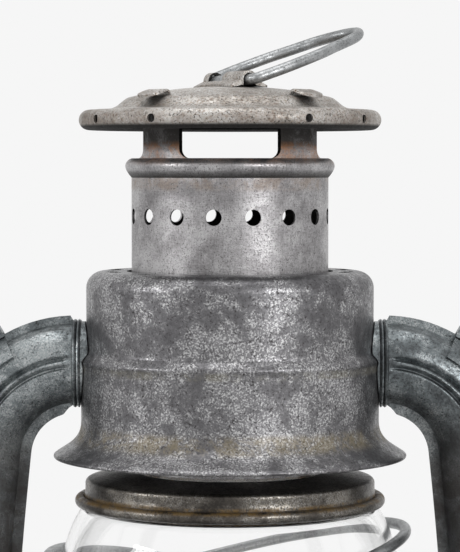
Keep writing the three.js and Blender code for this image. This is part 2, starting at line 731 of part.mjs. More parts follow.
// Crown: top plate, chimney and hood, which slide up together
function globeTopPlate() {
  const beadLevel = capPlateTop - CAP_PLATE_WALL + CAP_BEAD_RADIUS;
  const beadCentre = CAP_PLATE_RADIUS + CAP_BEAD_PROUD - CAP_BEAD_RADIUS;
  return solid(revolve(thicken([
    ...arc(beadCentre, beadLevel, CAP_BEAD_RADIUS, -90, 100, 3),
    [CAP_PLATE_RADIUS, beadLevel + CAP_BEAD_RADIUS * 1.6],
    [CAP_PLATE_RADIUS, capPlateTop - SHEET * 2],
    [CAP_PLATE_RADIUS - SHEET * 2, capPlateTop],
    [CHIMNEY_RADIUS + SHEET, capPlateTop + CAP_PLATE_CROWN],
    [CHIMNEY_RADIUS - SHEET * 3, capPlateTop + CAP_PLATE_CROWN],
  ])));
}

function windowTool(azimuth) {
  const half = CHIMNEY_RADIUS * Math.sin((90 - UPRIGHT_ANGLE) / 2 * degrees);
  const fillet = UPRIGHT_FILLET;
  const outline = [
    ...arc(-half + fillet, fillet, fillet, 180, 270, 2),
    ...arc(half - fillet, fillet, fillet, 270, 360, 2),
    [half, UPRIGHT_RISE + 1],
    [-half, UPRIGHT_RISE + 1],
  ];
  const tool = extrude(outline, CHIMNEY_RADIUS)
    .rotateX(90 * degrees)
    .rotateZ(90 * degrees)
    .translate(CHIMNEY_RADIUS / 3, 0, chimneyRim)
    .rotateZ(azimuth * degrees);
  return solid(tool);
}

function foldedTab(azimuth) {
  const half = TAB_WIDTH / 2;
  const neckOuter = CHIMNEY_RADIUS - SHEET / 4;
  const leafLevel = uprightTop + SEAT_GAP + SHEET * 1.3 + HOOD_SLIT_GAP;
  const neck = solid(box([neckOuter - SHEET * 0.75, -half, uprightTop - 1],
    [neckOuter, half, leafLevel + SHEET / 2]).rotateZ(azimuth * degrees));
  const leafOutline = [
    [0, -half],
    ...arc(TAB_LENGTH - half, 0, half, -90, 90, 4),
    [0, half],
  ];
  const leaf = extrude(leafOutline, SHEET)
    .rotateY(-TAB_LIFT * degrees)
    .translate(neckOuter - SHEET * 0.75, 0, leafLevel)
    .rotateZ(azimuth * degrees);
  return neck.add(solid(leaf));
}

function chimney() {
  const beadTop = chimneyRim;
  const bead = CHIMNEY_RADIUS + CHIMNEY_BEAD_PROUD;
  const shell = solid(revolve(thicken([
    [CHIMNEY_RADIUS, chimneyFoot],
    [CHIMNEY_RADIUS, beadTop - CHIMNEY_BEAD_HEIGHT],
    [bead - 0.5, beadTop - CHIMNEY_BEAD_HEIGHT * 0.62],
    [bead, beadTop - CHIMNEY_BEAD_HEIGHT * 0.38],
    [bead - 0.5, beadTop - CHIMNEY_BEAD_HEIGHT * 0.12],
    [CHIMNEY_RADIUS, beadTop],
    [CHIMNEY_RADIUS, uprightTop],
  ]), ROUND_FINE));
  const vents = repeat(VENT_COUNT, (i) => {
    const azimuth = -90 + VENT_START + 360 * i / VENT_COUNT;
    const level = beadTop - VENT_DROP;
    return solid(cylinder(VENT_RADIUS, around(CHIMNEY_RADIUS - 3, azimuth, level),
      around(CHIMNEY_RADIUS + 3, azimuth, level), 6));
  });
  const windows = repeat(UPRIGHT_COUNT, (i) => windowTool(90 * i));
  const tabs = repeat(UPRIGHT_COUNT, (i) => foldedTab(45 + 90 * i));
  return join([cut(shell, [...vents, ...windows]), ...tabs]);
}

function hood() {
  const dome = [HOOD_DOME_RADIUS, CHIMNEY_RADIUS, HOOD_CROWN_RADIUS]
    .map((radius) => [radius, hoodTop - hoodDrop(radius)]);
  const rimRadius = HOOD_RIM_HEIGHT / 2;
  const brim = hoodTop - HOOD_DOME_DROP - HOOD_BRIM_DROP;
  const rim = arc(HOOD_RADIUS - rimRadius, brim - rimRadius, rimRadius, -90, 75, 3);
  const shell = solid(revolve(thicken([
    [HOOD_RADIUS - rimRadius - HOOD_CURL, brim - HOOD_RIM_HEIGHT + HOOD_CURL / 2],
    ...rim,
    ...dome,
    [0, hoodTop],
  ])));
  const slits = repeat(UPRIGHT_COUNT, (i) => {
    const half = TAB_WIDTH / 2 + HOOD_SLIT_GAP;
    return solid(box([CHIMNEY_RADIUS - SHEET - HOOD_SLIT_GAP, -half, uprightTop - SHEET],
      [CHIMNEY_RADIUS + HOOD_SLIT_GAP, half, hoodTop]).rotateZ((45 + 90 * i) * degrees));
  });
  const holes = repeat(UPRIGHT_COUNT * 2, (i) => {
    const azimuth = 45 + 90 * Math.floor(i / 2) + (i % 2 ? 1 : -1) * HOOD_HOLE_PAIR;
    const level = brim - HOOD_RIM_HEIGHT / 2;
    return solid(cylinder(HOOD_HOLE_RADIUS, around(HOOD_RADIUS - rimRadius, azimuth, level),
      around(HOOD_RADIUS + 2, azimuth, level), 6));
  });
  return cut(shell, [...slits, ...holes]);
}

// Ring and strap, drawn with local X along the ring's length and Y along its pivot
const pivotLevel = hoodTop + SEAT_GAP + RING_WIRE_RADIUS;

function ringStrap() {
  const inner = RING_WIRE_RADIUS + STRAP_GAP;
  const base = hoodTop + SEAT_GAP;
  const section = thicken([
    [-inner - STRAP_FOOT, base],
    [-inner, base],
    ...arc(0, pivotLevel, inner, 180, 0, 6),
    [inner, base],
    [inner + STRAP_FOOT, base],
  ], STRAP_SHEET);
  const saddle = solid(extrude(section, STRAP_LENGTH)
    .rotateX(90 * degrees)
    .translate(0, STRAP_LENGTH / 2, 0));
  const near = -STRAP_LENGTH / 2 + STRAP_NEAR_LOBE;
  const window = box([-inner - STRAP_SHEET - SEAM_GAP, near, base - 1],
    [inner + STRAP_SHEET + SEAM_GAP, near + STRAP_WINDOW, pivotLevel + inner * 2]);
  return saddle.subtract(solid(window));
}

function hoodRing() {
  const half = RING_WIDTH / 2;
  const pivotHalf = RING_PIVOT_WIDTH / 2;
  const side = [
    [0, pivotHalf / 2],
    [0, pivotHalf - 2],
    [RING_CORNER[0], pivotHalf + RING_CORNER[1]],
    ...RING_NARROWING.map(([share, narrower]) => [RING_LENGTH * share, half - narrower]),
  ];
  const loop = [
    ...side.map(([l, w]) => at(l, w, 0)),
    at(RING_LENGTH, 0, 0),
    ...side.reverse().map(([l, w]) => at(l, -w, 0)),
    at(0, 0, 0),
  ];
  return solid(closedLoop(loop, RING_WIRE_RADIUS, 28)
    .rotateY(-RING_RISE * degrees)
    .translate(0, 0, pivotLevel));
}

// Air chamber
const ridgeFoot = drumFoot + CHAMBER_RIDGE_LEVEL;
const ridgeTop = ridgeFoot + CHAMBER_RIDGE_HEIGHT;
const chamberMouth = CHIMNEY_RADIUS + CHAMBER_MOUTH_GAP;
const chamberLine = [
  ...new THREE.QuadraticBezierCurve(
    new THREE.Vector2(CHAMBER_LOWER_RADIUS + FLARE_REACH, flareEdge),
    new THREE.Vector2(CHAMBER_LOWER_RADIUS + SHEET, drumFoot - SHEET * 4),
    new THREE.Vector2(CHAMBER_LOWER_RADIUS, drumFoot),
  ).getPoints(FLARE_STEPS).map((p) => [p.x, p.y]),
  [CHAMBER_LOWER_RADIUS, ridgeFoot],
  [CHAMBER_LOWER_RADIUS + CHAMBER_RIDGE_PROUD, ridgeFoot + CHAMBER_RIDGE_HEIGHT / 2],
  [CHAMBER_UPPER_RADIUS + CHAMBER_RIDGE_PROUD, ridgeTop],
  ...arc(CHAMBER_UPPER_RADIUS - CHAMBER_SHOULDER, drumTop - CHAMBER_SHOULDER, CHAMBER_SHOULDER, 0, 90, 3),
  [chamberMouth, drumTop],
];

function airChamber() {
  const shell = solid(revolve(thicken(chamberLine), ROUND_FINE));
  const mouths = [-1, 1].map((side) => solid(cylinder(TUBE_HALF_DEPTH - SHEET * 2,
    at(side * (CHAMBER_UPPER_RADIUS - CHAMBER_SHOULDER * 1.5), 0, tubeMouthLevel),
    at(side * (CHAMBER_LOWER_RADIUS + CHAMBER_SHOULDER), 0, tubeMouthLevel))));
  const flatTop = CHAMBER_UPPER_RADIUS - CHAMBER_SHOULDER - chamberMouth;
  const slots = repeat(CHAMBER_SLOTS, (i) => {
    const end = SLOT_WIDTH / 2;
    const reach = SLOT_LENGTH / 2 - end;
    const outline = [...arc(0, reach, end, 0, 180, 2), ...arc(0, -reach, end, 180, 360, 2)];
    return solid(extrude(outline, CHAMBER_SHOULDER)
      .translate(chamberMouth + flatTop * SLOT_PLACE, 0, drumTop - CHAMBER_SHOULDER / 2)
      .rotateZ((i + 0.5) * 360 / CHAMBER_SLOTS * degrees));
  });
  return cut(shell, [...mouths, ...slots]);
}

function chamberFloor() {
  const lip = CHAMBER_LOWER_RADIUS - SHEET - SEAT_GAP - SHEET;
  return solid(revolve(thicken([
    [lip, floorLevel + CHAMBER_FLOOR_LIP],
    [lip, floorLevel],
    [CHIMNEY_RADIUS + SLIDE_GAP, floorLevel],
  ])));
}

function chamberLiner() {
  const inside = CHIMNEY_RADIUS + SLIDE_GAP;
  return solid(revolve([
    [inside, floorLevel + SEAT_GAP],
    [inside + SHEET, floorLevel + SEAT_GAP],
    [inside + SHEET, drumTop - LINER_SHORT],
    [inside, drumTop - LINER_SHORT],
  ]));
}

// Side tubes: the section's X points to the inside of the bend, and its Y to the back
function halfSection(side) {
  const gap = SEAM_GAP / 2;
  const [w, d] = [TUBE_HALF_WIDTH, TUBE_HALF_DEPTH];
  const rim = (angle, inset) => [
    (w - inset) * Math.cos(angle * degrees),
    gap + (inset ? 0 : SHEET) + (d - SHEET) * Math.sin(angle * degrees)];
  const crest = rim(90, 0)[1];
  const outside = [
    [w + INNER_FLANGE, gap + SHEET],
    rim(0, 0), rim(48, 0),
    [RIB_HALF_WIDTH, crest],
    [0, crest - RIB_DEPTH],
    [-RIB_HALF_WIDTH, crest],
    rim(132, 0), rim(180, 0),
    [-w - OUTER_FLANGE, gap + SHEET],
  ];
  const inside = [
    [-w - OUTER_FLANGE, gap],
    rim(180, SHEET), rim(125, SHEET),
    rim(55, SHEET), rim(0, SHEET),
    [w + INNER_FLANGE, gap],
  ];
  return [...outside, ...inside].map(([x, y]) => [x, side * y]);
}

function tubeHalf(side, mirror) {
  const half = solid(sweep(halfSection(side), tubeRoute, TUBE_STATIONS));
  const collarEnd = tubeStart + TUBE_COLLAR_REACH + FLANGE_TRIM;
  const outer = TUBE_HALF_WIDTH + SEAM_GAP / 2;
  const trims = [-1, 1].map((way) => {
    const near = tubeMouthLevel + way * outer;
    const far = tubeMouthLevel + way * (outer + INNER_FLANGE * 2);
    return solid(box([tubeStart - 1, -2, Math.min(near, far)], [collarEnd, 2, Math.max(near, far)]));
  });
  const trimmed = cut(half, trims);
  return mirror ? solid(geometryOf(trimmed).scale(-1, 1, 1)) : trimmed;
}

// An oval round the tube's body, the given distance outside it
function tubeOval(offset) {
  const flat = SEAM_GAP / 2 + SHEET;
  const depth = TUBE_HALF_DEPTH - SHEET + offset;
  const back = arc(0, 0, 1, 0, 180, 12).map(([x, y]) => [(TUBE_HALF_WIDTH + offset) * x, flat + depth * y]);
  return [...back, ...back.map(([x, y]) => [-x, -y])];
}

function tubeCollar(mirror) {
  const shape = shapeOf(tubeOval(SEAM_GAP + TUBE_COLLAR_PROUD));
  shape.holes.push(new THREE.Path(tubeOval(SEAM_GAP).reverse().map(([x, y]) => new THREE.Vector2(x, y))));
  const inward = CHAMBER_LOWER_RADIUS - CHAMBER_UPPER_RADIUS + TUBE_HALF_DEPTH / 2;
  const depth = inward + TUBE_END_GAP + TUBE_COLLAR_REACH;
  const ring = solid(new THREE.ExtrudeGeometry(shape, { depth, bevelEnabled: false })
    .rotateY(90 * degrees)
    .translate(tubeStart + TUBE_COLLAR_REACH - depth, 0, tubeMouthLevel));
  const core = solid(revolve([
    [0, drumFoot],
    ...chamberLine.slice(FLARE_STEPS, -1).map(([r, z]) => [r + SEAT_GAP, z]),
    [0, drumTop + 1],
  ], ROUND_FINE));
  const fitted = ring.subtract(core);
  return mirror ? solid(geometryOf(fitted).scale(-1, 1, 1)) : fitted;
}

// Bail ears: a saddle pressed over the crest of each tube, with an upright eye
const earEyeCentre = (() => {
  const bendCentre = tubeMouthLevel - TUBE_BEND_RADIUS;
  const crestRadius = TUBE_BEND_RADIUS + TUBE_HALF_WIDTH + OUTER_FLANGE;
  const reach = EAR_FROM_AXIS - TUBE_BEND_START;
  return bendCentre + Math.sqrt(crestRadius ** 2 - reach ** 2) + EAR_HOLE_RISE;
})();

function crestSection(offset, startAngle) {
  const [w, d] = [TUBE_HALF_WIDTH + offset, TUBE_HALF_DEPTH + SEAM_GAP / 2 + offset];
  const flange = SEAM_GAP / 2 + SHEET + offset;
  const sides = [startAngle, 132, 150, 168].map(
    (angle) => [w * Math.cos(angle * degrees), d * Math.sin(angle * degrees)]);
  const half = [...sides, [-w, flange], [-w - OUTER_FLANGE, flange]];
  return [...half, ...half.map(([x, y]) => [x, -y]).reverse()];
}

function bailEar(mirror) {
  const crest = [];
  const bendCentre = tubeMouthLevel - TUBE_BEND_RADIUS;
  const radius = TUBE_BEND_RADIUS;
  const outerRadius = TUBE_BEND_RADIUS + TUBE_HALF_WIDTH + OUTER_FLANGE;
  const angleAt = (x) => Math.acos((x - TUBE_BEND_START) / outerRadius) / degrees;
  const from = angleAt(EAR_FROM_AXIS - EAR_SADDLE_WIDTH);
  const to = angleAt(EAR_FROM_AXIS + HEAVY_SHEET);
  for (const [x, z] of arc(TUBE_BEND_START, bendCentre, radius, from, to, 4)) crest.push(at(x, 0, z));
  const saddle = solid(sweep(crestSection(SEAT_GAP + HEAVY_SHEET, SADDLE_START), new PlanarRoute(crest), 4));
  const under = solid(sweep(crestSection(SEAT_GAP, SADDLE_START - SADDLE_UNDERCUT), tubeRoute, TUBE_STATIONS));
  const eyeOutline = [
    ...arc(0, earEyeCentre, EAR_RADIUS, 0, 180, 6),
    [-EAR_RADIUS, earEyeCentre - EAR_HOLE_RISE - OUTER_FLANGE],
    [EAR_RADIUS, earEyeCentre - EAR_HOLE_RISE - OUTER_FLANGE],
  ];
  const eye = solid(extrude(eyeOutline, HEAVY_SHEET)
    .rotateX(90 * degrees)
    .rotateZ(90 * degrees)
    .translate(EAR_FROM_AXIS, 0, 0));
  const hole = solid(cylinder(BAIL_WIRE_RADIUS + SLIDE_GAP,
    at(EAR_FROM_AXIS - EAR_RADIUS / 2, 0, earEyeCentre), at(EAR_FROM_AXIS + EAR_RADIUS, 0, earEyeCentre), 8));
  const ear = cut(saddle.add(eye), [under, hole]);
  return mirror ? solid(geometryOf(ear).scale(-1, 1, 1)) : ear;
}

// Bail, drawn hanging straight down and leaned back about the line through the eyes
function bail() {
  const inner = EAR_FROM_AXIS - BAIL_HOOK_INSIDE;
  const side = [
    [inner, 0],
    [inner + BAIL_HOOK_INSIDE * 2, 0],
    ...arc(bailHalfSpan - BAIL_SHOULDER, BAIL_SHOULDER, BAIL_SHOULDER, -90, 0, 3),
    ...arc(0, 0, 1, 0, BAIL_CROWN_ARC, 6).map(([x, y]) => [bailHalfSpan * x,
      BAIL_LEG + (BAIL_LENGTH - BAIL_LEG) * y]),
  ];
  const points = [
    ...side.map(([x, drop]) => at(x, 0, -drop)),
    at(0, 0, -BAIL_LENGTH),
    ...side.reverse().map(([x, drop]) => at(-x, 0, -drop)),
  ];
  return solid(wire(new PlanarRoute(points), BAIL_WIRE_RADIUS, points.length - 1)
    .rotateX(BAIL_LEAN * degrees)
    .translate(0, 0, earEyeCentre));
}

// Guard wires: a tilted loop round the globe, low end against a tube's inner flange
function guardWire(highSide, highLevel, highReach, halfDepth) {
  const slope = Math.tan(GUARD_SLOPE * degrees);
  const lowGuess = highLevel - (highReach + CHAMBER_LOWER_RADIUS + TUBE_HALF_WIDTH) * slope;
  const edge = tubeCrossing(lowGuess, TUBE_HALF_WIDTH + INNER_FLANGE).x;
  const lowReach = edge - SEAT_GAP - GUARD_WIRE_RADIUS;
  const middle = (highReach - lowReach) / 2;
  const halfLength = (highReach + lowReach) / 2;
  const points = repeat(12, (i) => {
    const angle = 30 * i * degrees;
    const x = middle + halfLength * Math.cos(angle);
    return at(highSide * x, halfDepth * Math.sin(angle), highLevel - (highReach - x) * slope);
  });
  return solid(closedLoop(points, GUARD_WIRE_RADIUS, 24));
}

// Lift lever, on the front of the right-hand tube
const leverLevel = PLATE_BOTTOM - LEVER_PIVOT_DROP;
const leverPivot = tubeCrossing(leverLevel, 0);
const leverFront = -(TUBE_HALF_DEPTH + SEAM_GAP / 2 + SEAT_GAP);

function leverPin() {
  const start = at(leverPivot.x, leverFront, leverLevel);
  const headEnd = leverFront - SEAT_GAP * 3 - HEAVY_SHEET * 2;
  const pin = cylinder(LEVER_PIN_RADIUS, start, at(leverPivot.x, headEnd, leverLevel), 8);
  const head = cylinder(LEVER_PIN_RADIUS * 2, at(leverPivot.x, headEnd + HEAVY_SHEET / 2, leverLevel),
    at(leverPivot.x, headEnd, leverLevel), 8);
  const shoulder = cylinder(LEVER_PIN_RADIUS * 1.7, start,
    at(leverPivot.x, leverFront - SEAT_GAP * 2, leverLevel), 8);
  return join([solid(pin), solid(head), solid(shoulder)]);
}

function liftLever() {
  const half = LEVER_WIDTH / 2;
  const tipTop = PLATE_BOTTOM - SEAT_GAP - leverLevel;
  const outline = [
    [-LEVER_INNER_ARM, tipTop - half],
    [-LEVER_INNER_ARM * 0.9, tipTop - half * 1.4],
    [0, -LEVER_WIDTH * 0.75],
    [LEVER_OUTER_ARM, -LEVER_WIDTH * 0.9],
    [LEVER_OUTER_ARM, LEVER_WIDTH * 0.1],
    [0, LEVER_WIDTH * 0.75],
    [-LEVER_INNER_ARM * 0.9, tipTop],
    [-LEVER_INNER_ARM, tipTop],
  ];
  const back = leverFront - SEAT_GAP * 3;
  const bar = solid(extrude(outline, HEAVY_SHEET)
    .rotateX(90 * degrees)
    .translate(leverPivot.x, back, leverLevel));
  const hole = solid(cylinder(LEVER_PIN_RADIUS + SHAFT_GAP,
    at(leverPivot.x, back + 1, leverLevel), at(leverPivot.x, back - 3, leverLevel)));
  const tabX = leverPivot.x + LEVER_OUTER_ARM;
  const tabZ = leverLevel - LEVER_WIDTH * 0.4;
  const tab = solid(box([tabX - LEVER_TAB, back - LEVER_TAB, tabZ - SHEET],
    [tabX, back - HEAVY_SHEET / 2, tabZ + SHEET]));
  return cut(bar, [hole]).add(tab);
}

piece('fount_bottom', 'agedSteel', fountBottom(), frame);
piece('fount_shell', 'agedSteel', fountShell(), frame);
piece('air_dome', 'agedSteel', airDome(), frame);
piece('filler_neck', 'agedSteel', fillerNeck(), frame);
piece('air_chamber', 'agedSteel', airChamber(), frame);
piece('chamber_floor', 'agedSteel', chamberFloor(), frame);
piece('chamber_liner', 'agedSteel', chamberLiner(), frame);
piece('lever_pin', 'wireSteel', leverPin(), frame);
for (const [name, mirror] of [['right', false], ['left', true]]) {
  piece(`side_tube_${name}_front`, 'tubeSteel', tubeHalf(-1, mirror), frame);
  piece(`side_tube_${name}_back`, 'tubeSteel', tubeHalf(1, mirror), frame);
  piece(`tube_collar_${name}`, 'rustySteel', tubeCollar(mirror), frame);
  piece(`bail_ear_${name}`, 'tubeSteel', bailEar(mirror), frame);
}
piece('guard_wire_upper', 'wireSteel',
  guardWire(1, GUARD_HIGH_LEVEL, GUARD_HIGH_REACH, GUARD_HALF_DEPTH), frame);
piece('guard_wire_lower', 'wireSteel', guardWire(-1, GUARD_HIGH_LEVEL - GUARD_STAGGER,
  SECOND_GUARD_REACH, GUARD_HALF_DEPTH + GUARD_CROSSING), frame);
piece('bail', 'wireSteel', bail(), lantern);
piece('lift_lever', 'wireSteel', liftLever(), lantern);

const filler = piece('filler_cap', 'brass', fillerCap(), lantern);
filler.geometry = onDome(filler.geometry, fillerFootRadius, FILLER_AZIMUTH);

const burner = new THREE.Group();
burner.rotation.z = KNOB_AZIMUTH * degrees;
frame.add(burner);
piece('burner_collar', 'brass', burnerCollar(), burner);
piece('burner_deck', 'brass', burnerDeck(), burner);
piece('wick_tube', 'brass', wickTube(), burner);
piece('wick', 'cotton', wick(), burner);
piece('wick_shaft', 'brass', wickShaft(), burner);
piece('wick_knob', 'brass', wickKnob(), burner);

piece('globe_plate', 'agedSteel', globePlate(), globeCarrier);
const cone = new THREE.Group();
cone.rotation.z = KNOB_AZIMUTH * degrees;
globeCarrier.add(cone);
piece('burner_cone', 'brass', burnerCone(), cone);
piece('globe', 'glass', solid(revolve(thicken(globeOutline(), GLASS))), globeCarrier);

piece('globe_top_plate', 'rustySteel', globeTopPlate(), crown);
piece('chimney', 'chimneySteel', chimney(), crown);
piece('hood', 'agedSteel', hood(), crown);
const ringMount = new THREE.Group();
ringMount.rotation.z = RING_TURN * degrees;
crown.add(ringMount);
piece('ring_strap', 'agedSteel', ringStrap(), ringMount);
piece('hood_ring', 'wireSteel', hoodRing(), ringMount);

export default lantern;
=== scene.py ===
import math
from math import cos, pi, radians, sin

import bpy
from bpy.props import FloatProperty, FloatVectorProperty, StringProperty
from mathutils import Matrix, Vector


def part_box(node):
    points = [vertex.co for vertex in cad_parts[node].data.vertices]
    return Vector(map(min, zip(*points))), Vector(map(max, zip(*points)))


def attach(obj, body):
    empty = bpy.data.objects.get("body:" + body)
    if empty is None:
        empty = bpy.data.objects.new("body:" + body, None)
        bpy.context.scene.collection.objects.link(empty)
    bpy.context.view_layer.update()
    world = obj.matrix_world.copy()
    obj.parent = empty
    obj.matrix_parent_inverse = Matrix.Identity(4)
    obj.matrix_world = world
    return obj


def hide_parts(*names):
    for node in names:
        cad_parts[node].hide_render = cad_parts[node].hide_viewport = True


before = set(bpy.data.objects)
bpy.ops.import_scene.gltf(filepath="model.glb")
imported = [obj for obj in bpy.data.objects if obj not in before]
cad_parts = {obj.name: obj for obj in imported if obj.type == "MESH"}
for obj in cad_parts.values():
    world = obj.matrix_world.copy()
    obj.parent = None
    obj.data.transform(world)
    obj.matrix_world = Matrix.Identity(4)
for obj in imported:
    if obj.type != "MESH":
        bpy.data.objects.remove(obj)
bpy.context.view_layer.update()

bl_info = {
    "name": "Hurricane Lantern",
    "version": (1, 0, 0),
    "blender": (4, 5, 0),
    "location": "View3D > Sidebar > Lantern",
    "description": "Builds an aged tubular hurricane lantern and the stage that it stands on",
    "category": "Add Mesh",
}

MM = 0.001
ROUND = 160
ROUND_SHOWN = 192
ROUND_SMALL = 96


def top_of(node):
    """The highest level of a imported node, in millimetres."""
    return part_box(node)[1].z / MM


def foot_of(node):
    """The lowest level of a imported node, in millimetres."""
    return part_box(node)[0].z / MM


# Sheet and seats, in millimetres, as all sizes here
SHEET = 0.6
HEAVY_SHEET = 1.2
SEAT_GAP = 0.3
SEAM_GAP = 0.2

# Fount, air dome and filler
FOUNT_RADIUS = 54
FOUNT_SHOULDER = 7
FOUNT_SKIRT = 3
FOUNT_MOUTH = 11.5
FOUNT_BEAD_PROUD = 0.9
FOUNT_BEAD_DROP = 4
GROOVE_RADIUS = 38
GROOVE_HALF = 2
GROOVE_DEPTH = 1
DOME_NECK_RADIUS = 19
DOME_NECK_HEIGHT = 3
DOME_HEM = 0.9
DOME_CORNER = 2.2
FILLER_RADIUS = 38
FILLER_AZIMUTH = 225
FILLER_BORE = 6.5
FILLER_RISE = 8
SPOUT_DROP = 1.5
SPOUT_FLANGE = 1.6
CAP_RADIUS = 10
CAP_HEIGHT = 8.5
CAP_WAIST = 0.6
CAP_PLAY = 0.4

# Burner and globe plate
DECK_BORE = 10
DECK_RADIUS = 20.2
KNOB_AZIMUTH = -45
KNOB_REACH = 50
KNOB_RADIUS = 7
KNOB_OFFSET = -4.55
KNOB_GRIPS = 16
GRIP_DEPTH = 0.4
# The knob's outline, as share of its radius and depth from its inner face
KNOB_STEPS = (
    (0.93, 0), (1, 0.25), (1, 1.95), (0.93, 2.2), (0.55, 2.2), (0.45, 1.7), (0.34, 1.7), (0.34, 3.3))
CONE_FOOT = 21
CONE_FLANGE = 2.5
CONE_RISE = 15
FLAME_SLOT = (8.5, 2.5)
PLATE_VENT_CIRCLE = 25.6
PLATE_VENT_RADIUS = 1.5
PLATE_RIM_HEIGHT = 4
GLOBE_FOOT_RADIUS = 31
GLOBE_BELLY_RADIUS = 42.5
GLOBE_NECK_RADIUS = 33.2
GLOBE_LIP = 4.5

# Crown
CHIMNEY_RADIUS = 23.6
CHIMNEY_HEIGHT = 74.5
BEAD_PROUD = 1.5
BEAD_HEIGHT = 4.6
BEAD_STEPS = 20
VENT_COUNT = 16
VENT_RADIUS = 1.9
VENT_DROP = 13.8
VENT_START = 13.2
UPRIGHT_ANGLE = 30
UPRIGHT_RISE = 13.9
UPRIGHT_FILLET = 2.2
TAB_WIDTH = 6.4
TAB_LENGTH = 6
TAB_FALL = 0.3
TAB_BEND = 1.4
HOOD_RADIUS = 36.2
HOOD_DOME_RADIUS = 28.8
HOOD_CROWN_RADIUS = 12
HOOD_DOME_DROP = 4.7
HOOD_BRIM_DROP = 0.8
HOOD_RIM_HEIGHT = 4.8
HOOD_CURL = 1.2
# The pressed step from the brim up to the dome, as radius and rise over the brim
HOOD_STEP = ((31.5, 0.1), (28.8, 0.3), (27.2, 0.9), (25.8, 2.0), (24.6, 2.85))
# The dome's crown, as radius and fall below its top
HOOD_CROWN = ((19, 1.35), (HOOD_CROWN_RADIUS, 0.45), (6, 0))
HOLE_PAIR_ANGLE = 15
RING_WIRE = 1.3
RING_LENGTH = 36.5
RING_WIDTH = 27
RING_PIVOT_HALF = 12
RING_TURN = 28
RING_RISE = 19.5
STRAP_SHEET = 0.5
STRAP_LENGTH = 19.6
STRAP_FOOT = 3.2
STRAP_STATIONS = 12
STRAP_WINDOW = 7
STRAP_NEAR_LOBE = 10
STRAP_SAG = 0.55
TOP_PLATE_RADIUS = 34.8
TOP_PLATE_RISE = 1.8
TOP_BEAD_RADIUS = 1.4
TOP_BEAD_PROUD = 2.5

# Air chamber
CHAMBER_UPPER = 34.5
CHAMBER_LOWER = 35.8
CHAMBER_HEIGHT = 36.1
CHAMBER_SHOULDER = 4
CHAMBER_HEM = 0.5
RIDGE_LEVEL = 14
FLARE_REACH = 6.6
FLARE_HEIGHT = 8.6
SLOT_CIRCLE = 28.6
SLOT_COUNT = 12
SLOT_HALF = 4
SLOT_END = 1.2

# Side tubes
TUBE_HALF_WIDTH = 9.55
TUBE_HALF_DEPTH = 8.2
BEND_RADIUS = 22.6
BEND_START = 37.4
BEND_TURN = 84
BEND_STEPS = 21
LEG_STEPS = 44
COLLAR_TRIM = 1.9
TUBE_MOUTH_RISE = 13.9
INNER_FLANGE = 2.5
OUTER_FLANGE = 1.9
BARE_FLANGE = 0.35
TUBE_FOOT_RADIUS = 36
UPPER_PULL = 78
LOWER_PULL = 58

# Wires and ears
GUARD_WIRE = 1.35
GUARD_SLOPE = 15
GUARD_STEPS = 120
BAIL_WIRE = 1.6
BAIL_HALF_SPAN = 79.5
BAIL_LENGTH = 150
BAIL_LEAN = 22
BAIL_LEG = 70
BAIL_CORNER = 5
EAR_FROM_AXIS = 64.6
EAR_RADIUS = 4
EAR_RISE = 5.8
SADDLE_START = 54.3
SADDLE_WRAP = 122
LEVER_REACH = 27
LEVER_PAD = 8

# Stage
FLOOR_RADIUS = 1500
FLOOR_SIDES = 64
FLOOR_DROP = 0.05
# Lamps aim at a point in metres. Each has a name, a place and a width in metres, and a power in watts.
LAMP_AIM = (0, 0, 0.2)
SOFT_BOXES = (
    ("right_box", (0.72, -1.03, 0.55), 0.5, 6.6), ("left_box", (-1.15, -0.5, 0.6), 0.4, 4),
    ("top_box", (0, -0.1, 1.3), 0.9, 5.5))
# The camera's sensor in millimetres, and its near limit in metres
SENSOR_WIDTH = 36
CLIP_START = 0.01

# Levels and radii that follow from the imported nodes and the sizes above
dome_foot = foot_of("air_dome")
dome_top = top_of("air_dome")
dome_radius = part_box("air_dome")[1].y / MM
chimney_foot = foot_of("chimney")
chimney_rim = chimney_foot + CHIMNEY_HEIGHT
upright_top = chimney_rim + UPRIGHT_RISE
hood_top = top_of("hood")
drum_top = top_of("air_chamber")
drum_foot = drum_top - CHAMBER_HEIGHT
chamber_edge = drum_foot - FLARE_HEIGHT
tube_mouth = drum_foot + TUBE_MOUTH_RISE
bend_centre = tube_mouth - BEND_RADIUS
crest_radius = BEND_RADIUS + TUBE_HALF_WIDTH + OUTER_FLANGE
ear_eye = bend_centre + math.sqrt(crest_radius ** 2 - (EAR_FROM_AXIS - BEND_START) ** 2) + EAR_RISE
dome_slope = math.atan2(dome_top - DOME_NECK_HEIGHT - dome_foot - DOME_HEM, dome_radius - DOME_NECK_RADIUS)


def dome_level(radius):
    """The level of the air dome's outside at a radius."""
    return dome_foot + DOME_HEM + (dome_radius - radius) * math.tan(dome_slope)


# Outlines: lists of (radius, height) or (x, y) points in millimetres

def arc(cx, cy, radius, start, end, steps, tall=1):
    """Points round a centre from one angle to another, with their height times the last number."""
    turns = [radians(start + (end - start) * i / steps) for i in range(steps + 1)]
    return [(cx + radius * cos(t), cy + radius * tall * sin(t)) for t in turns]


def rounded(points, radius, steps=5):
    """An open line with each inner corner turned into a short curve."""
    made = [points[0]]
    for before, corner, after in zip(points, points[1:], points[2:]):
        a, b, c = Vector(before), Vector(corner), Vector(after)
        cut_in, cut_out = min(radius, (a - b).length * 0.45), min(radius, (c - b).length * 0.45)
        start, end = b + (a - b).normalized() * cut_in, b + (c - b).normalized() * cut_out
        for i in range(steps + 1):
            t = i / steps
            made.append(tuple(start.lerp(b, t).lerp(b.lerp(end, t), t)))
    return made + [points[-1]]


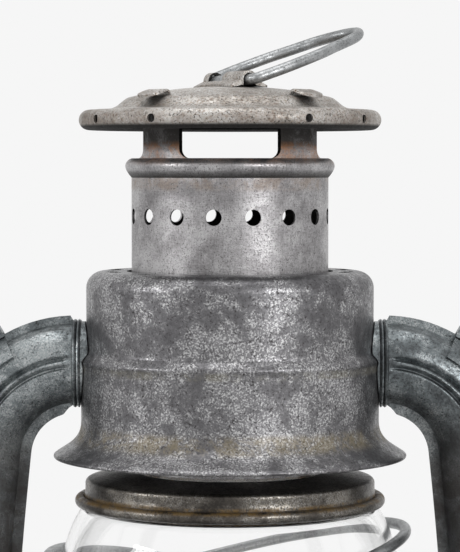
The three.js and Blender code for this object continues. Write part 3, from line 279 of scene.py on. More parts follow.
def thicken(line, gauge=SHEET):
    """A closed outline from an open line and its copy moved to the line's left."""
    moved = []
    for i, point in enumerate(line):
        here = Vector(point)
        before = (here - Vector(line[max(i - 1, 0)])).normalized()
        after = (Vector(line[min(i + 1, len(line) - 1)]) - here).normalized()
        along = (before + after).normalized()
        bend = before.dot(along) if before.length and after.length else 1
        offset = gauge / max(bend, 0.5)
        moved.append((here.x - along.y * offset, here.y + along.x * offset))
    return list(line) + [p for p in moved if clearance(p, line) > gauge * 0.97][::-1]


def clearance(point, line):
    """How far a point lies from an open line."""
    here, nearest = Vector(point), math.inf
    for a, b in zip(map(Vector, line), map(Vector, line[1:])):
        span = (b - a).length_squared
        share = min(max((here - a).dot(b - a) / span, 0), 1) if span else 0
        nearest = min(nearest, (here - a.lerp(b, share)).length)
    return nearest


def through(points, steps):
    """A smooth line through control points, with a number of steps between each two."""
    control = [Vector(p) for p in points]
    made = []
    for i in range(len(control) - 1):
        a, b = control[max(i - 1, 0)], control[i]
        c, d = control[i + 1], control[min(i + 2, len(control) - 1)]
        v0, v1 = (c - a) / 2, (d - b) / 2
        for k in range(steps):
            t = k / steps
            made.append((2 * b - 2 * c + v0 + v1) * t ** 3 + (-3 * b + 3 * c - 2 * v0 - v1) * t ** 2
                        + v0 * t + b)
    return [tuple(p) for p in made + [control[-1]]]


def bezier(a, b, c, d, steps):
    """Points along a curve from a to d that is pulled towards b and c."""
    a, b, c, d = (Vector(p) for p in (a, b, c, d))
    made = []
    for i in range(steps + 1):
        t = i / steps
        made.append(a * (1 - t) ** 3 + b * 3 * t * (1 - t) ** 2 + c * 3 * t * t * (1 - t) + d * t ** 3)
    return [tuple(p) for p in made]


# Meshes

def object_from(name, points, faces, sharp=34):
    """A smooth-shaded object from points in millimetres, creased where its faces meet sharply."""
    mesh = bpy.data.meshes.new(name)
    mesh.from_pydata([Vector(p) * MM for p in points], [], faces)
    mesh.validate()
    mesh.shade_smooth()
    mesh.set_sharp_from_angle(angle=radians(sharp))
    made = bpy.data.objects.new(name, mesh)
    bpy.context.scene.collection.objects.link(made)
    return made


def lathe(name, outline, segments=ROUND):
    """Revolves a closed outline of (radius, height) points about the Z axis."""
    points, rows, faces = [], [], []
    for radius, height in outline:
        if radius < 1e-6:
            rows.append([len(points)] * segments)
            points.append((0, 0, height))
            continue
        rows.append(list(range(len(points), len(points) + segments)))
        for k in range(segments):
            turn = 2 * pi * k / segments
            points.append((radius * cos(turn), radius * sin(turn), height))
    for row, following in zip(rows, rows[1:] + rows[:1]):
        for k in range(segments):
            corners = [row[k], row[(k + 1) % segments], following[(k + 1) % segments], following[k]]
            face = [c for i, c in enumerate(corners) if c not in corners[:i]]
            if len(face) > 2:
                faces.append(face)
    return facing_out(object_from(name, points, faces))


def loft(name, rings, closed=False):
    """Skins rings of points in order, and caps the two ends unless the rings close on themselves."""
    count = len(rings[0])
    points = [p for ring in rings for p in ring]
    faces = []
    for i in range(len(rings) if closed else len(rings) - 1):
        a, b = i * count, (i + 1) % len(rings) * count
        faces += [(a + k, a + (k + 1) % count, b + (k + 1) % count, b + k) for k in range(count)]
    if not closed:
        faces += [tuple(range(count))[::-1], tuple(range(len(points) - count, len(points)))]
    return facing_out(object_from(name, points, faces))


def facing_out(piece):
    """Turns the faces of a closed piece outward."""
    mesh = piece.data
    mesh.calc_loop_triangles()
    corner = [mesh.vertices[i].co for t in mesh.loop_triangles for i in t.vertices]
    volume = sum(corner[i].dot(corner[i + 1].cross(corner[i + 2])) for i in range(0, len(corner), 3))
    if volume < 0:
        mesh.flip_normals()
    return piece


def prism(name, outline, depth, move=Matrix()):
    """An outline in X and Y raised along Z and then moved, in millimetres."""
    return loft(name, [[move @ Vector((x, y, z)) for x, y in outline] for z in (0, depth)])


def wire(name, path, radius, closed=False, sides=16):
    """A round wire along points in millimetres, closed on itself or with slightly rounded ends."""
    line = [Vector(p) for p in path]
    count = len(line)
    turns = [2 * pi * k / sides for k in range(sides)]
    tangents = []
    for i in range(count):
        ahead = line[(i + 1) % count] if closed else line[min(i + 1, count - 1)]
        behind = line[i - 1] if closed or i else line[0]
        tangents.append((ahead - behind).normalized())
    side = tangents[0].orthogonal().normalized()
    rings = []
    for centre, along in zip(line, tangents):
        side = (side - along * side.dot(along)).normalized()
        up = along.cross(side)
        rings.append([centre + (side * cos(t) + up * sin(t)) * radius for t in turns])
    if not closed:
        for end, way in ((0, -1), (-1, 1)):
            tip = line[end] + tangents[end] * way * radius * 0.35
            small = [tip + (p - line[end]) * 0.6 for p in rings[end]]
            rings.insert(0 if end == 0 else len(rings), small)
    return loft(name, rings, closed)


def joined(name, parts):
    """One object from several."""
    with bpy.context.temp_override(active_object=parts[0], selected_editable_objects=parts):
        bpy.ops.object.join()
    parts[0].name = name
    parts[0].data.name = name
    return parts[0]


def carve(piece, tools, sharp=34):
    """Cuts tools, which don't touch each other, out of a piece."""
    tool = joined("tool", tools) if len(tools) > 1 else tools[0]
    modifier = piece.modifiers.new("cut", "BOOLEAN")
    modifier.operation, modifier.solver, modifier.object = "DIFFERENCE", "MANIFOLD", tool
    made = bpy.data.meshes.new_from_object(piece.evaluated_get(bpy.context.evaluated_depsgraph_get()))
    piece.modifiers.clear()
    piece.data = made
    piece.data.shade_smooth()
    piece.data.set_sharp_from_angle(angle=radians(sharp))
    bpy.data.objects.remove(tool)
    return piece


def turned(degrees, axis="Z"):
    """A turn about an axis."""
    return Matrix.Rotation(radians(degrees), 4, axis)


def rod(radius, start, end, sides=28):
    """A straight round tool or pin between two points."""
    a, b = Vector(start), Vector(end)
    move = Matrix.Translation(a) @ (b - a).to_track_quat("Z", "Y").to_matrix().to_4x4()
    return prism("rod", arc(0, 0, radius, 0, 360 - 360 / sides, sides - 1), (b - a).length, move)


def block(low, high, move=Matrix()):
    """A box between two corners, then moved."""
    (x0, y0, z0), (x1, y1, z1) = low, high
    outline = [(x0, y0), (x1, y0), (x1, y1), (x0, y1)]
    return prism("block", outline, z1 - z0, move @ Matrix.Translation((0, 0, z0)))


def around(radius, azimuth, level):
    """The point at a radius, an angle round the lantern's axis and a level."""
    return (radius * cos(radians(azimuth)), radius * sin(radians(azimuth)), level)


def stand(piece, move):
    """Moves a piece's own mesh, with the move's distances in millimetres."""
    piece.data.transform(Matrix.Translation(move.to_translation() * MM) @ move.to_3x3().to_4x4())
    return piece


def mirrored(ring, way):
    """A ring of points, on the right for 1 or mirrored to the left for -1."""
    return [Vector((p.x * way, p.y, p.z)) for p in ring]


def place(piece, material, slot, body, *nodes):
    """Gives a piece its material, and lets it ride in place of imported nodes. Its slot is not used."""
    piece.data.materials.clear()
    piece.data.materials.append(material)
    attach(piece, body)
    if nodes:
        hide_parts(*nodes)


def dress(node, material):
    """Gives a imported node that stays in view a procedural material."""
    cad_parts[node].material_slots[0].material = material


# Materials

def linear(colour):
    """An sRGB hex colour as linear red, green, blue and alpha."""
    values = [int(colour[i:i + 2], 16) / 255 for i in (1, 3, 5)]
    return [v / 12.92 if v <= 0.04045 else ((v + 0.055) / 1.055) ** 2.4 for v in values] + [1]


def add(tree, kind, inputs=(), **settings):
    """Adds a shader node with its settings, and fills its inputs."""
    made = tree.nodes.new("ShaderNode" + kind)
    for name, value in settings.items():
        setattr(made, name, value)
    return fill(tree, made, inputs)


def fill(tree, node, inputs):
    """Gives a node's inputs, by name or in order, their values and links. A node among the values
    links by the first of its outputs that is in use."""
    in_use = [socket for socket in node.inputs if socket.enabled]
    for name, value in inputs.items() if isinstance(inputs, dict) else enumerate(inputs):
        socket = node.inputs[name] if isinstance(name, str) else in_use[name]
        if isinstance(value, bpy.types.Node):
            value = next(output for output in value.outputs if output.enabled)
        if isinstance(value, bpy.types.NodeSocket):
            tree.links.new(value, socket)
        else:
            socket.default_value = value
    return node


def new_material(name):
    """A new material with its node tree and shader."""
    made = bpy.data.materials.new(name)
    made.use_nodes = True
    return made, made.node_tree, made.node_tree.nodes["Principled BSDF"]


SMOOTH = {"interpolation_type": "SMOOTHSTEP"}


def mottled_tin(tree, where, marks, tones, scratched):
    """The sheet's own grey: clouds, patches and grain together pick among a dark, a middle and a
    light tone, and fine rubbing marks cross them."""
    together = add(tree, "CombineXYZ", (marks["clouds"], marks["patches"], marks["grain"]))
    tone = add(tree, "VectorMath", (together, (0.42, 0.33, 0.25)), operation="DOT_PRODUCT")
    for stretch in ((1, 1, 18), (9, 9, 1)) if scratched else ():
        drawn = add(tree, "VectorMath", (where, stretch), operation="MULTIPLY")
        lines = add(tree, "TexNoise", {
            "Vector": drawn, "Scale": 1 / (3 * MM), "Detail": 3, "Roughness": 0.7})
        tone = add(tree, "Math", (lines, scratched, tone), operation="MULTIPLY_ADD")
    centred = add(tree, "Math", (tone, scratched), operation="SUBTRACT")
    shade = add(tree, "ValToRGB", (centred,))
    dark, mid, light = (linear(colour) for colour in tones)
    stops = shade.color_ramp.elements
    stops[0].position, stops[1].position = 0.40, 0.60
    stops[0].color, stops[1].color = dark, light
    stops.new(0.5).color = mid
    return shade


def stain_and_shade_bands(tree, where, bloom, stains_and_shade):
    """The amount and colour of each band, a stain or painted shade: bloom that fades out above and below the
    band's level.
    A narrow band fades slowly, and a very wide one is nearly whole."""
    level = add(tree, "SeparateXYZ", (where,)).outputs["Z"]
    for height, half, strength, tint in stains_and_shade:
        above = add(tree, "Math", (level, height * MM), operation="SUBTRACT")
        away = add(tree, "Math", (above,), operation="ABSOLUTE")
        core = half * (0.3 if half < 6 else 0.7)
        least = 0.6 if half > 9 else 0
        fading = add(tree, "MapRange", (away, half * MM, core * MM, 0, strength), **SMOOTH)
        cloudy = add(tree, "MapRange", (bloom, 0.42, 0.58, least, 1), **SMOOTH)
        yield add(tree, "Math", (fading, cloudy), operation="MULTIPLY"), tint


def soot_and_painted_shade(tree, where):
    """How far soot and painted shade cover a place: wholly where it faces down, or in towards the flame."""
    normal = add(tree, "NewGeometry").outputs["Normal"]
    facing = add(tree, "SeparateXYZ", (normal,)).outputs["Z"]
    beneath = add(tree, "MapRange", (facing, -0.35, -0.7), **SMOOTH)
    from_axis = add(tree, "VectorMath", (where, (1, 1, 0)), operation="MULTIPLY")
    outward = add(tree, "VectorMath", (normal, from_axis), operation="DOT_PRODUCT")
    inside = add(tree, "MapRange", (outward, -1 * MM, -8 * MM), **SMOOTH)
    return add(tree, "Math", (beneath, inside), operation="MAXIMUM")


def sheet_marks(tree, where, grain_mm):
    """The patterns of the sheet's ageing, each a noise at its real size in millimetres."""
    # Size, detail, roughness and distortion
    patterns = {
        "clouds": (16, 8, 0.6, 0.4), "patches": (4.5, 7, 0.68, 0), "grain": (grain_mm, 4, 0.7, 0),
        "crumbs": (grain_mm * 0.55, 2, 0.6, 0), "bloom": (9, 9, 0.76, 0.5),
        "freckles": (grain_mm * 1.3, 3, 0.7, 0)}
    return {mark: add(tree, "TexNoise", {
        "Vector": where, "Scale": 1 / (size * MM), "Detail": detail, "Roughness": rough, "Distortion": bend})
        for mark, (size, detail, rough, bend) in patterns.items()}


def spangled(tree, marks, grey, spangle):
    """The grey with bright crystals of tin where the coat is whole."""
    coat = add(tree, "Math", (marks["patches"], marks["clouds"]), operation="ADD")
    whole = add(tree, "MapRange", (coat, 0.88, 1.10, 0, spangle), **SMOOTH)
    crystal = add(tree, "MapRange", (marks["crumbs"], 0.50, 0.62), **SMOOTH)
    bright = add(tree, "Math", (crystal, whole), operation="MULTIPLY")
    return add(tree, "Mix", (bright, grey, linear("#c0c0c0")), data_type="RGBA")


def pits_in(tree, marks, pitting):
    """Where the tin is eaten away in small pits, more of them at a higher pitting."""
    worn = add(tree, "MapRange", (marks["crumbs"], pitting, pitting - 0.1), **SMOOTH)
    deep = add(tree, "MapRange", (marks["grain"], 0.53, 0.40), **SMOOTH)
    return add(tree, "Math", (worn, deep), operation="MULTIPLY")


def rust_on(tree, marks, bloom, rusting, freckles):
    """How far rust covers the sheet: in blooms, that spread with rusting, and in freckles."""
    blooming = add(tree, "MapRange", (bloom, 0.70 - rusting * 0.3, 0.80 - rusting * 0.24, 0, 0.8), **SMOOTH)
    spots = add(tree, "MapRange", (marks["freckles"], 0.52, 0.62, 0, freckles), **SMOOTH)
    return add(tree, "Math", (blooming, spots), operation="MAXIMUM")


def aged_sheet(name, tones, spangle, rusting, gloss, grain_mm=0.9, rust="#6b4a33", stains_and_shade=(), scratched=0.0,
               pitting=0.46, freckles=0.0, soot_and_shade=False):
    """Aged tinned steel: satin grey with darker clouds, a fine bright spangle where the tin is whole,
    dark pits where it is gone, and brown rust that blooms out of them or freckles it. gloss is the
    roughness of clean tin, and stains_and_shade are bands of stain or painted shade, each
    (level, half height, strength, colour). soot_and_shade adds soot and painted shade beneath and inside."""
    material, tree, shader = new_material(name)
    where = add(tree, "TexCoord").outputs["Object"]
    marks = sheet_marks(tree, where, grain_mm)
    grey = mottled_tin(tree, where, marks, tones, scratched)
    pits = pits_in(tree, marks, pitting)
    pit_shade = add(tree, "Math", (pits, 0.85), operation="MULTIPLY")
    colour = add(tree, "Mix", (pit_shade, spangled(tree, marks, grey, spangle), linear("#2a2624")),
                 data_type="RGBA")
    fine = add(tree, "Math", (marks["grain"], 0.3), operation="MULTIPLY")
    bloom = add(tree, "Math", (marks["bloom"], 0.7, fine), operation="MULTIPLY_ADD")
    rusted = rust_on(tree, marks, bloom, rusting, freckles)
    coats = [(rusted, rust), *stain_and_shade_bands(tree, where, bloom, stains_and_shade)]
    # Soot and painted shade: near black on faces that look down or in towards the flame
    if soot_and_shade:
        coats.append((soot_and_painted_shade(tree, where), "#141210"))
    covered = 0
    for amount, tint in coats:
        colour = add(tree, "Mix", (amount, colour, linear(tint)), data_type="RGBA")
        covered = add(tree, "Math", (covered, amount), operation="MAXIMUM")
    satin = add(tree, "MapRange", (marks["grain"], 0.35, 0.65, gloss + 0.13, gloss - 0.07), **SMOOTH)
    raised = add(tree, "Math", (marks["grain"], marks["crumbs"]), operation="ADD")
    relief = add(tree, "Math", (raised, pits), operation="SUBTRACT")
    fill(tree, shader, {
        "Base Color": colour,
        "Roughness": add(tree, "Math", (covered, 0.35, satin), operation="MULTIPLY_ADD"),
        "Metallic": add(tree, "MapRange", (covered, 0, 0.8, 0.9, 0.25), **SMOOTH),
        "Normal": add(tree, "Bump", {"Height": relief, "Strength": 0.35, "Distance": 0.06 * MM})})
    return material


def blown_glass(name):
    """Blown soda-lime glass: clear, with a faint waviness that bends what is behind it."""
    material, tree, shader = new_material(name)
    where = add(tree, "TexCoord").outputs["Object"]
    waves = add(tree, "TexNoise", {"Vector": where, "Scale": 1 / (22 * MM), "Detail": 1, "Roughness": 0.5})
    fill(tree, shader, {
        "Base Color": linear("#ffffff"), "IOR": 1.52, "Roughness": 0.0, "Transmission Weight": 1,
        "Normal": add(tree, "Bump", {"Height": waves, "Strength": 0.2, "Distance": 0.4 * MM})})
    return material


def woven_cotton(name):
    """Woven cotton wick: a cream tape, charred towards its burnt top edge. Its threads are drawn
    1 mm apart, coarser than real ones, so that they show."""
    material, tree, shader = new_material(name)
    where = add(tree, "TexCoord").outputs["Object"]
    level = add(tree, "SeparateXYZ", (where,)).outputs["Z"]
    waves_per_scale = 3.2
    weave = add(tree, "TexWave", {
        "Vector": where, "Scale": 1 / (waves_per_scale * MM), "Distortion": 1.5},
        bands_direction="Z").outputs["Fac"]
    thread = add(tree, "Mix", (weave, linear("#b9ae93"), linear("#e2dbc6")), data_type="RGBA")
    char = add(tree, "MapRange", (level, (top_of("wick") - 3) * MM, top_of("wick") * MM))
    fill(tree, shader, {
        "Base Color": add(tree, "Mix", (char, thread, linear("#1d1916")), data_type="RGBA"),
        "Roughness": 0.95,
        "Normal": add(tree, "Bump", {"Height": weave, "Strength": 0.6, "Distance": 0.2 * MM})})
    return material


def materials(colours):
    """The lantern's finishes by name. Levels in the stain and painted shade bands are millimetres over the
    ground.
    """
    tin = (colours.dark, colours.mid, colours.light)
    return {
        # Tin with a fine bright spangle on mid grey, yellowed at the foot of its wall
        "chamber": aged_sheet(
            "tinned_steel_spangled", tin,
            spangle=0.8, rusting=0.05, gloss=0.37, grain_mm=0.8,
            stains_and_shade=((drum_foot - 2.5, 3, 0.5, "#7a6c48"), (drum_foot + 13.2, 1.4, 0.35, "#6f6a52"))),
        # The same sheet on the fount, with a little more rust near the ground
        "fount": aged_sheet(
            "tinned_steel_fount", tin,
            spangle=0.6, rusting=0.14, gloss=0.40, stains_and_shade=((4, 3.5, 0.5, "#6b4a33"),)),
        # Sheet that heat and handling have smoothed, with painted shade on the uprights under the hood, rust
        # where they spring, and soot and painted shade inside
        "chimney": aged_sheet(
            "tinned_steel_heat_smoothed", ("#7b797a", "#959394", "#b0aeaf"),
            spangle=0.5, rusting=0.1, gloss=0.36,
            grain_mm=0.5, rust="#7d6248", scratched=0.2, soot_and_shade=True,
            # Painted shade: the first band darkens the uprights under the hood
            stains_and_shade=((chimney_rim + 10.5, 9.8, 1.3, "#2e2b29"), (chimney_rim + 1.2, 3.2, 0.7, "#96653c"),
                    (chimney_rim - BEAD_HEIGHT - 1.2, 2.4, 0.45, "#7a6146"))),
        # Dull top sheet, stippled with sandy rust and dark at its rim, black beneath with soot and painted
        # shade
        "hood": aged_sheet(
            "tinned_steel_weathered", ("#807b75", "#a39e98", "#c4c0ba"),
            spangle=0.8, rusting=0.24, gloss=0.44,
            grain_mm=0.6, rust="#7d6450", pitting=0.53, freckles=0.45, soot_and_shade=True,
            stains_and_shade=((foot_of("hood") + 1.6, 3.4, 0.5, "#66564a"),)),
        # Pressed tubes, darker, with painted shade in a wide band over all but the top of their bend
        "tube": aged_sheet(
            "tinned_steel_darkened", ("#474a4c", "#6c7274", "#979d9e"),
            spangle=0.5, rusting=0.14, gloss=0.35,
            # Painted shade: the band darkens the tubes below their top-lit bend
            grain_mm=0.7, rust="#574a43", stains_and_shade=((94, 98, 0.95, "#322e2c"),)),
        # The plate over the glass, browned by lamp heat and its tones darkened as painted shade under the
        # chamber, with an ochre line over its bead
        "rusty": aged_sheet(
            "tinned_steel_browned_and_shaded", ("#363330", "#524e49", "#7a756d"),
            spangle=0.25, rusting=0.2, gloss=0.34,
            grain_mm=0.6, rust="#4c4035", stains_and_shade=((foot_of("globe_top_plate") + 2.7, 1.0, 0.9, "#6f5629"),)),
        # Drawn wire, evenly dull
        "wire": aged_sheet(
            "drawn_steel_wire", ("#77797a", "#8e9091", "#a4a6a7"),
            spangle=0.3, rusting=0.12, gloss=0.36, grain_mm=0.6),
        # Spun brass, tarnished brown in the clouds
        "brass": aged_sheet(
            "spun_brass_tarnished", ("#6a532b", "#957a45", "#b0955a"),
            spangle=0.0, rusting=0.12, gloss=0.34, rust="#3c3323"),
        # Clear glass shows the parts behind it
        "glass": blown_glass("soda_glass_blown"),
        # Matt tape with a burnt edge
        "cotton": woven_cotton("cotton_tape_woven"),
    }


# Fount, dome, filler and burner

def make_fount(finish):
    """The fount: a flat base with a pressed ring groove, and the beaded shell over it."""
    rim = FOUNT_RADIUS + SEAT_GAP + SHEET
    groove = through([(GROOVE_RADIUS - GROOVE_HALF, 0), (GROOVE_RADIUS, GROOVE_DEPTH),
                      (GROOVE_RADIUS + GROOVE_HALF, 0)], 6)
    base = lathe("fount_base", thicken([
        (0, 0), *groove, *arc(rim - SHEET, SHEET, SHEET, -90, 0, 6), (rim, FOUNT_SKIRT)]))
    place(base, finish["fount"], "aged_steel", "frame", "fount_bottom")
    top = dome_foot - SEAT_GAP
    bead = top - FOUNT_SHOULDER - FOUNT_BEAD_DROP
    swell = [(FOUNT_RADIUS + FOUNT_BEAD_PROUD * cos(radians(a)) ** 2, bead + FOUNT_BEAD_PROUD * 2 * a / 90)
             for a in range(-90, 91, 15)]
    shell = lathe("fount_body", thicken([
        (FOUNT_RADIUS, SHEET + SEAT_GAP), *swell,
        *arc(FOUNT_RADIUS - FOUNT_SHOULDER, top - FOUNT_SHOULDER, FOUNT_SHOULDER, 0, 90, 18),
        (FOUNT_MOUTH, top)]))
    hole = rod(FILLER_BORE, *filler_axis(-16, 8))
    place(carve(shell, [hole]), finish["fount"], "aged_steel", "frame", "fount_shell")


def on_dome(radius, azimuth):
    """The matrix that stands a shape square on the air dome's slope."""
    return (turned(azimuth) @ Matrix.Translation((radius, 0, dome_level(radius)))
            @ turned(math.degrees(dome_slope), "Y"))


def filler_axis(low, high):
    """Two points on the filler's axis, by their distance from the dome."""
    move = on_dome(FILLER_RADIUS, FILLER_AZIMUTH)
    return move @ Vector((0, 0, low)), move @ Vector((0, 0, high))


def make_air_dome(finish):
    """The air dome, with holes where the filler and both tubes stand."""
    shell = lathe("air_dome_shell", thicken(rounded([
        (dome_radius, dome_foot), (dome_radius, dome_foot + DOME_HEM),
        (DOME_NECK_RADIUS, dome_top - DOME_NECK_HEIGHT), (DOME_NECK_RADIUS, dome_top)], DOME_CORNER)))
    tools = [rod(FILLER_BORE + SHEET + SEAT_GAP, *filler_axis(-8, 8))]
    for azimuth in (0, 180):
        move = on_dome(TUBE_FOOT_RADIUS, azimuth)
        tools.append(rod(TUBE_HALF_DEPTH - SHEET * 2, move @ Vector((0, 0, -4)), move @ Vector((0, 0, 4))))
    place(carve(shell, tools), finish["fount"], "aged_steel", "frame", "air_dome")


def make_filler(finish):
    """The filler's flanged spout and its brass cap, square on the dome."""
    move = on_dome(FILLER_RADIUS, FILLER_AZIMUTH)
    outer, flange = FILLER_BORE + SHEET, SEAT_GAP + SHEET
    neck = stand(lathe("filler_spout", [
        (FILLER_BORE, -SPOUT_DROP), (outer, -SPOUT_DROP), (outer, SEAT_GAP),
        (outer + SPOUT_FLANGE, SEAT_GAP), (outer + SPOUT_FLANGE, flange), (outer, flange),
        (outer, FILLER_RISE), (FILLER_BORE, FILLER_RISE)], 64), move)
    place(neck, finish["fount"], "aged_steel", "frame", "filler_neck")
    grip, waist = outer + CAP_PLAY, CAP_RADIUS - CAP_WAIST
    foot, under = SEAT_GAP + flange, FILLER_RISE + SEAT_GAP
    side = [(CAP_RADIUS, foot), (CAP_RADIUS, foot + 1), (waist, foot + 1.3), (waist, CAP_HEIGHT - 2),
            (CAP_RADIUS, CAP_HEIGHT - 1.6), *arc(CAP_RADIUS - 1, CAP_HEIGHT - 1, 1, 0, 90, 6)]
    cap = stand(lathe("filler_lid", [
        (0, under), (grip, under), (grip, foot), *side, (CAP_RADIUS - 3, CAP_HEIGHT),
        (CAP_RADIUS - 3.6, under + SHEET), (0, under + SHEET)], ROUND_SMALL), move)
    place(cap, finish["brass"], "brass", "filler_cap", "filler_cap")


def make_knob(finish):
    """The winder's knob: a disc with rounded grips, a dished face and a boss."""
    low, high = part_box("wick_knob")
    level = (low.z + high.z) / 2 / MM
    edge = []
    for i in range(ROUND_SMALL):
        angle = 2 * pi * i / ROUND_SMALL
        reach = KNOB_RADIUS - GRIP_DEPTH * (0.5 + 0.5 * cos(angle * KNOB_GRIPS + pi)) ** 0.6
        edge.append((reach * cos(angle), reach * sin(angle)))
    knob = loft("winder_knob", [
        [turned(KNOB_AZIMUTH) @ Vector((KNOB_REACH + depth, KNOB_OFFSET + x * size, level + y * size))
         for x, y in edge] for size, depth in KNOB_STEPS])
    place(knob, finish["brass"], "brass", "wick_knob", "wick_knob")


def make_burner(finish):
    """The brass burner: deck plate, winder knob and slotted cone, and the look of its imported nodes."""
    low = dome_top + SEAT_GAP
    plate = lathe("burner_plate", [
        (DECK_BORE, low), (DECK_RADIUS, low), *arc(DECK_RADIUS - 0.5, low + 0.5, 0.5, -90, 90, 6),
        (DECK_BORE, low + 1)], ROUND_SMALL)
    place(plate, finish["brass"], "brass", "frame")
    make_knob(finish)
    foot, neck = foot_of("burner_cone"), CONE_FOOT - CONE_FLANGE
    shell = arc(0, foot + SHEET, neck, 0, 90, 18, CONE_RISE / neck)
    line = [(CONE_FOOT, foot + SHEET), *shell[:-1], (0, shell[-1][1])]
    cone = lathe("burner_hood", thicken(line), ROUND_SMALL)
    half_long, half_wide = FLAME_SLOT
    slot = block((-half_long, -half_wide, foot + CONE_RISE / 2),
                 (half_long, half_wide, foot + CONE_RISE * 2), turned(KNOB_AZIMUTH))
    place(carve(cone, [slot]), finish["brass"], "brass", "globe_carrier", "burner_cone")
    for node in ("burner_collar", "burner_deck", "wick_tube", "wick_shaft"):
        dress(node, finish["brass"])
    dress("wick", finish["cotton"])


# Globe and its plate

def make_globe_plate(finish):
    """The dished plate that carries the globe, with a circle of vents."""
    low = foot_of("globe_plate")
    rim = GLOBE_FOOT_RADIUS + SEAT_GAP + SHEET
    plate = lathe("globe_tray", thicken([
        (CONE_FOOT - 3, low), (rim - SHEET, low), *arc(rim - SHEET, low + SHEET, SHEET, -90, 0, 5)[1:],
        (rim, low + PLATE_RIM_HEIGHT)]))
    vents = [rod(PLATE_VENT_RADIUS, around(PLATE_VENT_CIRCLE, azimuth, low - 1),
                 around(PLATE_VENT_CIRCLE, azimuth, low + 2), 20) for azimuth in range(0, 360, 30)]
    place(carve(plate, vents), finish["chamber"], "aged_steel", "globe_carrier", "globe_plate")


def make_globe(finish, wall):
    """The glass globe, from its foot over the belly to its neck."""
    foot, top = foot_of("globe"), top_of("globe")
    curve = through([
        (GLOBE_FOOT_RADIUS, foot + GLOBE_LIP), (GLOBE_FOOT_RADIUS + 3.6, foot + GLOBE_LIP + 8),
        (GLOBE_BELLY_RADIUS - 1.6, foot + 32), (GLOBE_BELLY_RADIUS, foot + 56),
        (GLOBE_BELLY_RADIUS - 0.9, top - 27), (GLOBE_NECK_RADIUS + 6.3, top - GLOBE_LIP - 10.1),
        (GLOBE_NECK_RADIUS + 3, top - GLOBE_LIP - 2.6), (GLOBE_NECK_RADIUS, top - GLOBE_LIP)], 9)
    line = [(GLOBE_FOOT_RADIUS, foot), *curve, (GLOBE_NECK_RADIUS, top)]
    place(lathe("glass_globe", thicken(line, wall), ROUND_SHOWN), finish["glass"], "clear_glass",
          "globe_carrier", "globe")


# Crown: top plate, chimney, hood, strap and ring

def make_top_plate(finish):
    """The plate over the globe: a rolled bead, a low wall and a rise to the chimney."""
    top = top_of("globe_top_plate") - TOP_PLATE_RISE
    level = foot_of("globe_top_plate") + TOP_BEAD_RADIUS
    centre = TOP_PLATE_RADIUS + TOP_BEAD_PROUD - TOP_BEAD_RADIUS
    plate = lathe("globe_cap", thicken([
        *arc(centre, level, TOP_BEAD_RADIUS, -90, 130, 16),
        *through([(TOP_PLATE_RADIUS + 0.15, level + 1.9), (TOP_PLATE_RADIUS, level + 2.8),
                  (TOP_PLATE_RADIUS, top - 1.4)], 4),
        *arc(TOP_PLATE_RADIUS - 1.2, top - 1.2, 1.2, 10, 80, 6),
        (CHIMNEY_RADIUS + 2, top + 1.5), (CHIMNEY_RADIUS - 1.8, top + TOP_PLATE_RISE - SHEET)]))
    place(plate, finish["rusty"], "rusty_steel", "crown", "globe_top_plate")


def window_tool(azimuth):
    """The cutter of the open window between two uprights."""
    half = CHIMNEY_RADIUS * sin(radians((90 - UPRIGHT_ANGLE) / 2))
    r = UPRIGHT_FILLET
    outline = [*arc(-half + r, r, r, 180, 270, 8), *arc(half - r, r, r, 270, 360, 8),
               (half, UPRIGHT_RISE + 1), (-half, UPRIGHT_RISE + 1)]
    return loft("window", [[turned(azimuth) @ Vector((x, y, chimney_rim + z)) for y, z in outline]
                           for x in (CHIMNEY_RADIUS / 3, CHIMNEY_RADIUS * 4 / 3)])


def folded_tab(azimuth):
    """A strip of an upright, pushed up through the hood and folded down over its slope."""
    half = TAB_WIDTH / 2
    start = CHIMNEY_RADIUS - SHEET * 0.9
    level = upright_top + SEAT_GAP + SHEET * 1.3 + 0.4
    rows = [(start + x, half, z) for x, z in (
        (0, upright_top - 1), (0, level - 0.5), (0.2, level - 0.05), (0.7, level + 0.15), (TAB_BEND, level))]
    for i in range(10):
        angle = radians(90 * i / 9)
        x = TAB_LENGTH - half + half * sin(angle)
        rows.append((start + x, max(half * cos(angle), 0.3), level - (x - TAB_BEND) * TAB_FALL))
    rings = []
    for i, (x, wide, z) in enumerate(rows):
        a, b = rows[max(i - 1, 0)], rows[min(i + 1, len(rows) - 1)]
        along = Vector((b[0] - a[0], 0, b[2] - a[2])).normalized()
        low, narrow = Vector((x, 0, z)), wide * 0.95
        high = low + along.cross(Vector((0, 1, 0))) * SHEET
        rings.append([turned(azimuth) @ (p + Vector((0, y, 0))) for p, y in (
            (low, -wide), (low, wide), (high, narrow), (high, -narrow))])
    return loft("tab", rings)


def make_chimney(finish):
    """The chimney with its roll bead, vents and open windows, and the tabs folded over the hood."""
    bead = [(CHIMNEY_RADIUS + BEAD_PROUD * sin(pi * (t / BEAD_STEPS) ** 1.35) ** 0.7,
             chimney_rim - BEAD_HEIGHT + BEAD_HEIGHT * t / BEAD_STEPS) for t in range(BEAD_STEPS + 1)]
    shell = lathe("chimney_shell", thicken([
        (CHIMNEY_RADIUS, chimney_foot), (CHIMNEY_RADIUS, chimney_rim - BEAD_HEIGHT - 1),
        *bead, (CHIMNEY_RADIUS, chimney_rim + 0.8), (CHIMNEY_RADIUS, upright_top)]), ROUND_SHOWN)
    tools = [window_tool(90 * i) for i in range(4)]
    level = chimney_rim - VENT_DROP
    for i in range(VENT_COUNT):
        azimuth = -90 + VENT_START + 360 * i / VENT_COUNT
        tools.append(rod(VENT_RADIUS, around(CHIMNEY_RADIUS - 3, azimuth, level),
                         around(CHIMNEY_RADIUS + 3, azimuth, level)))
    place(carve(shell, tools), finish["chimney"], "chimney_steel", "crown", "chimney")
    tabs = joined("folded_tabs", [folded_tab(45 + 90 * i) for i in range(4)])
    place(tabs, finish["hood"], "chimney_steel", "crown")


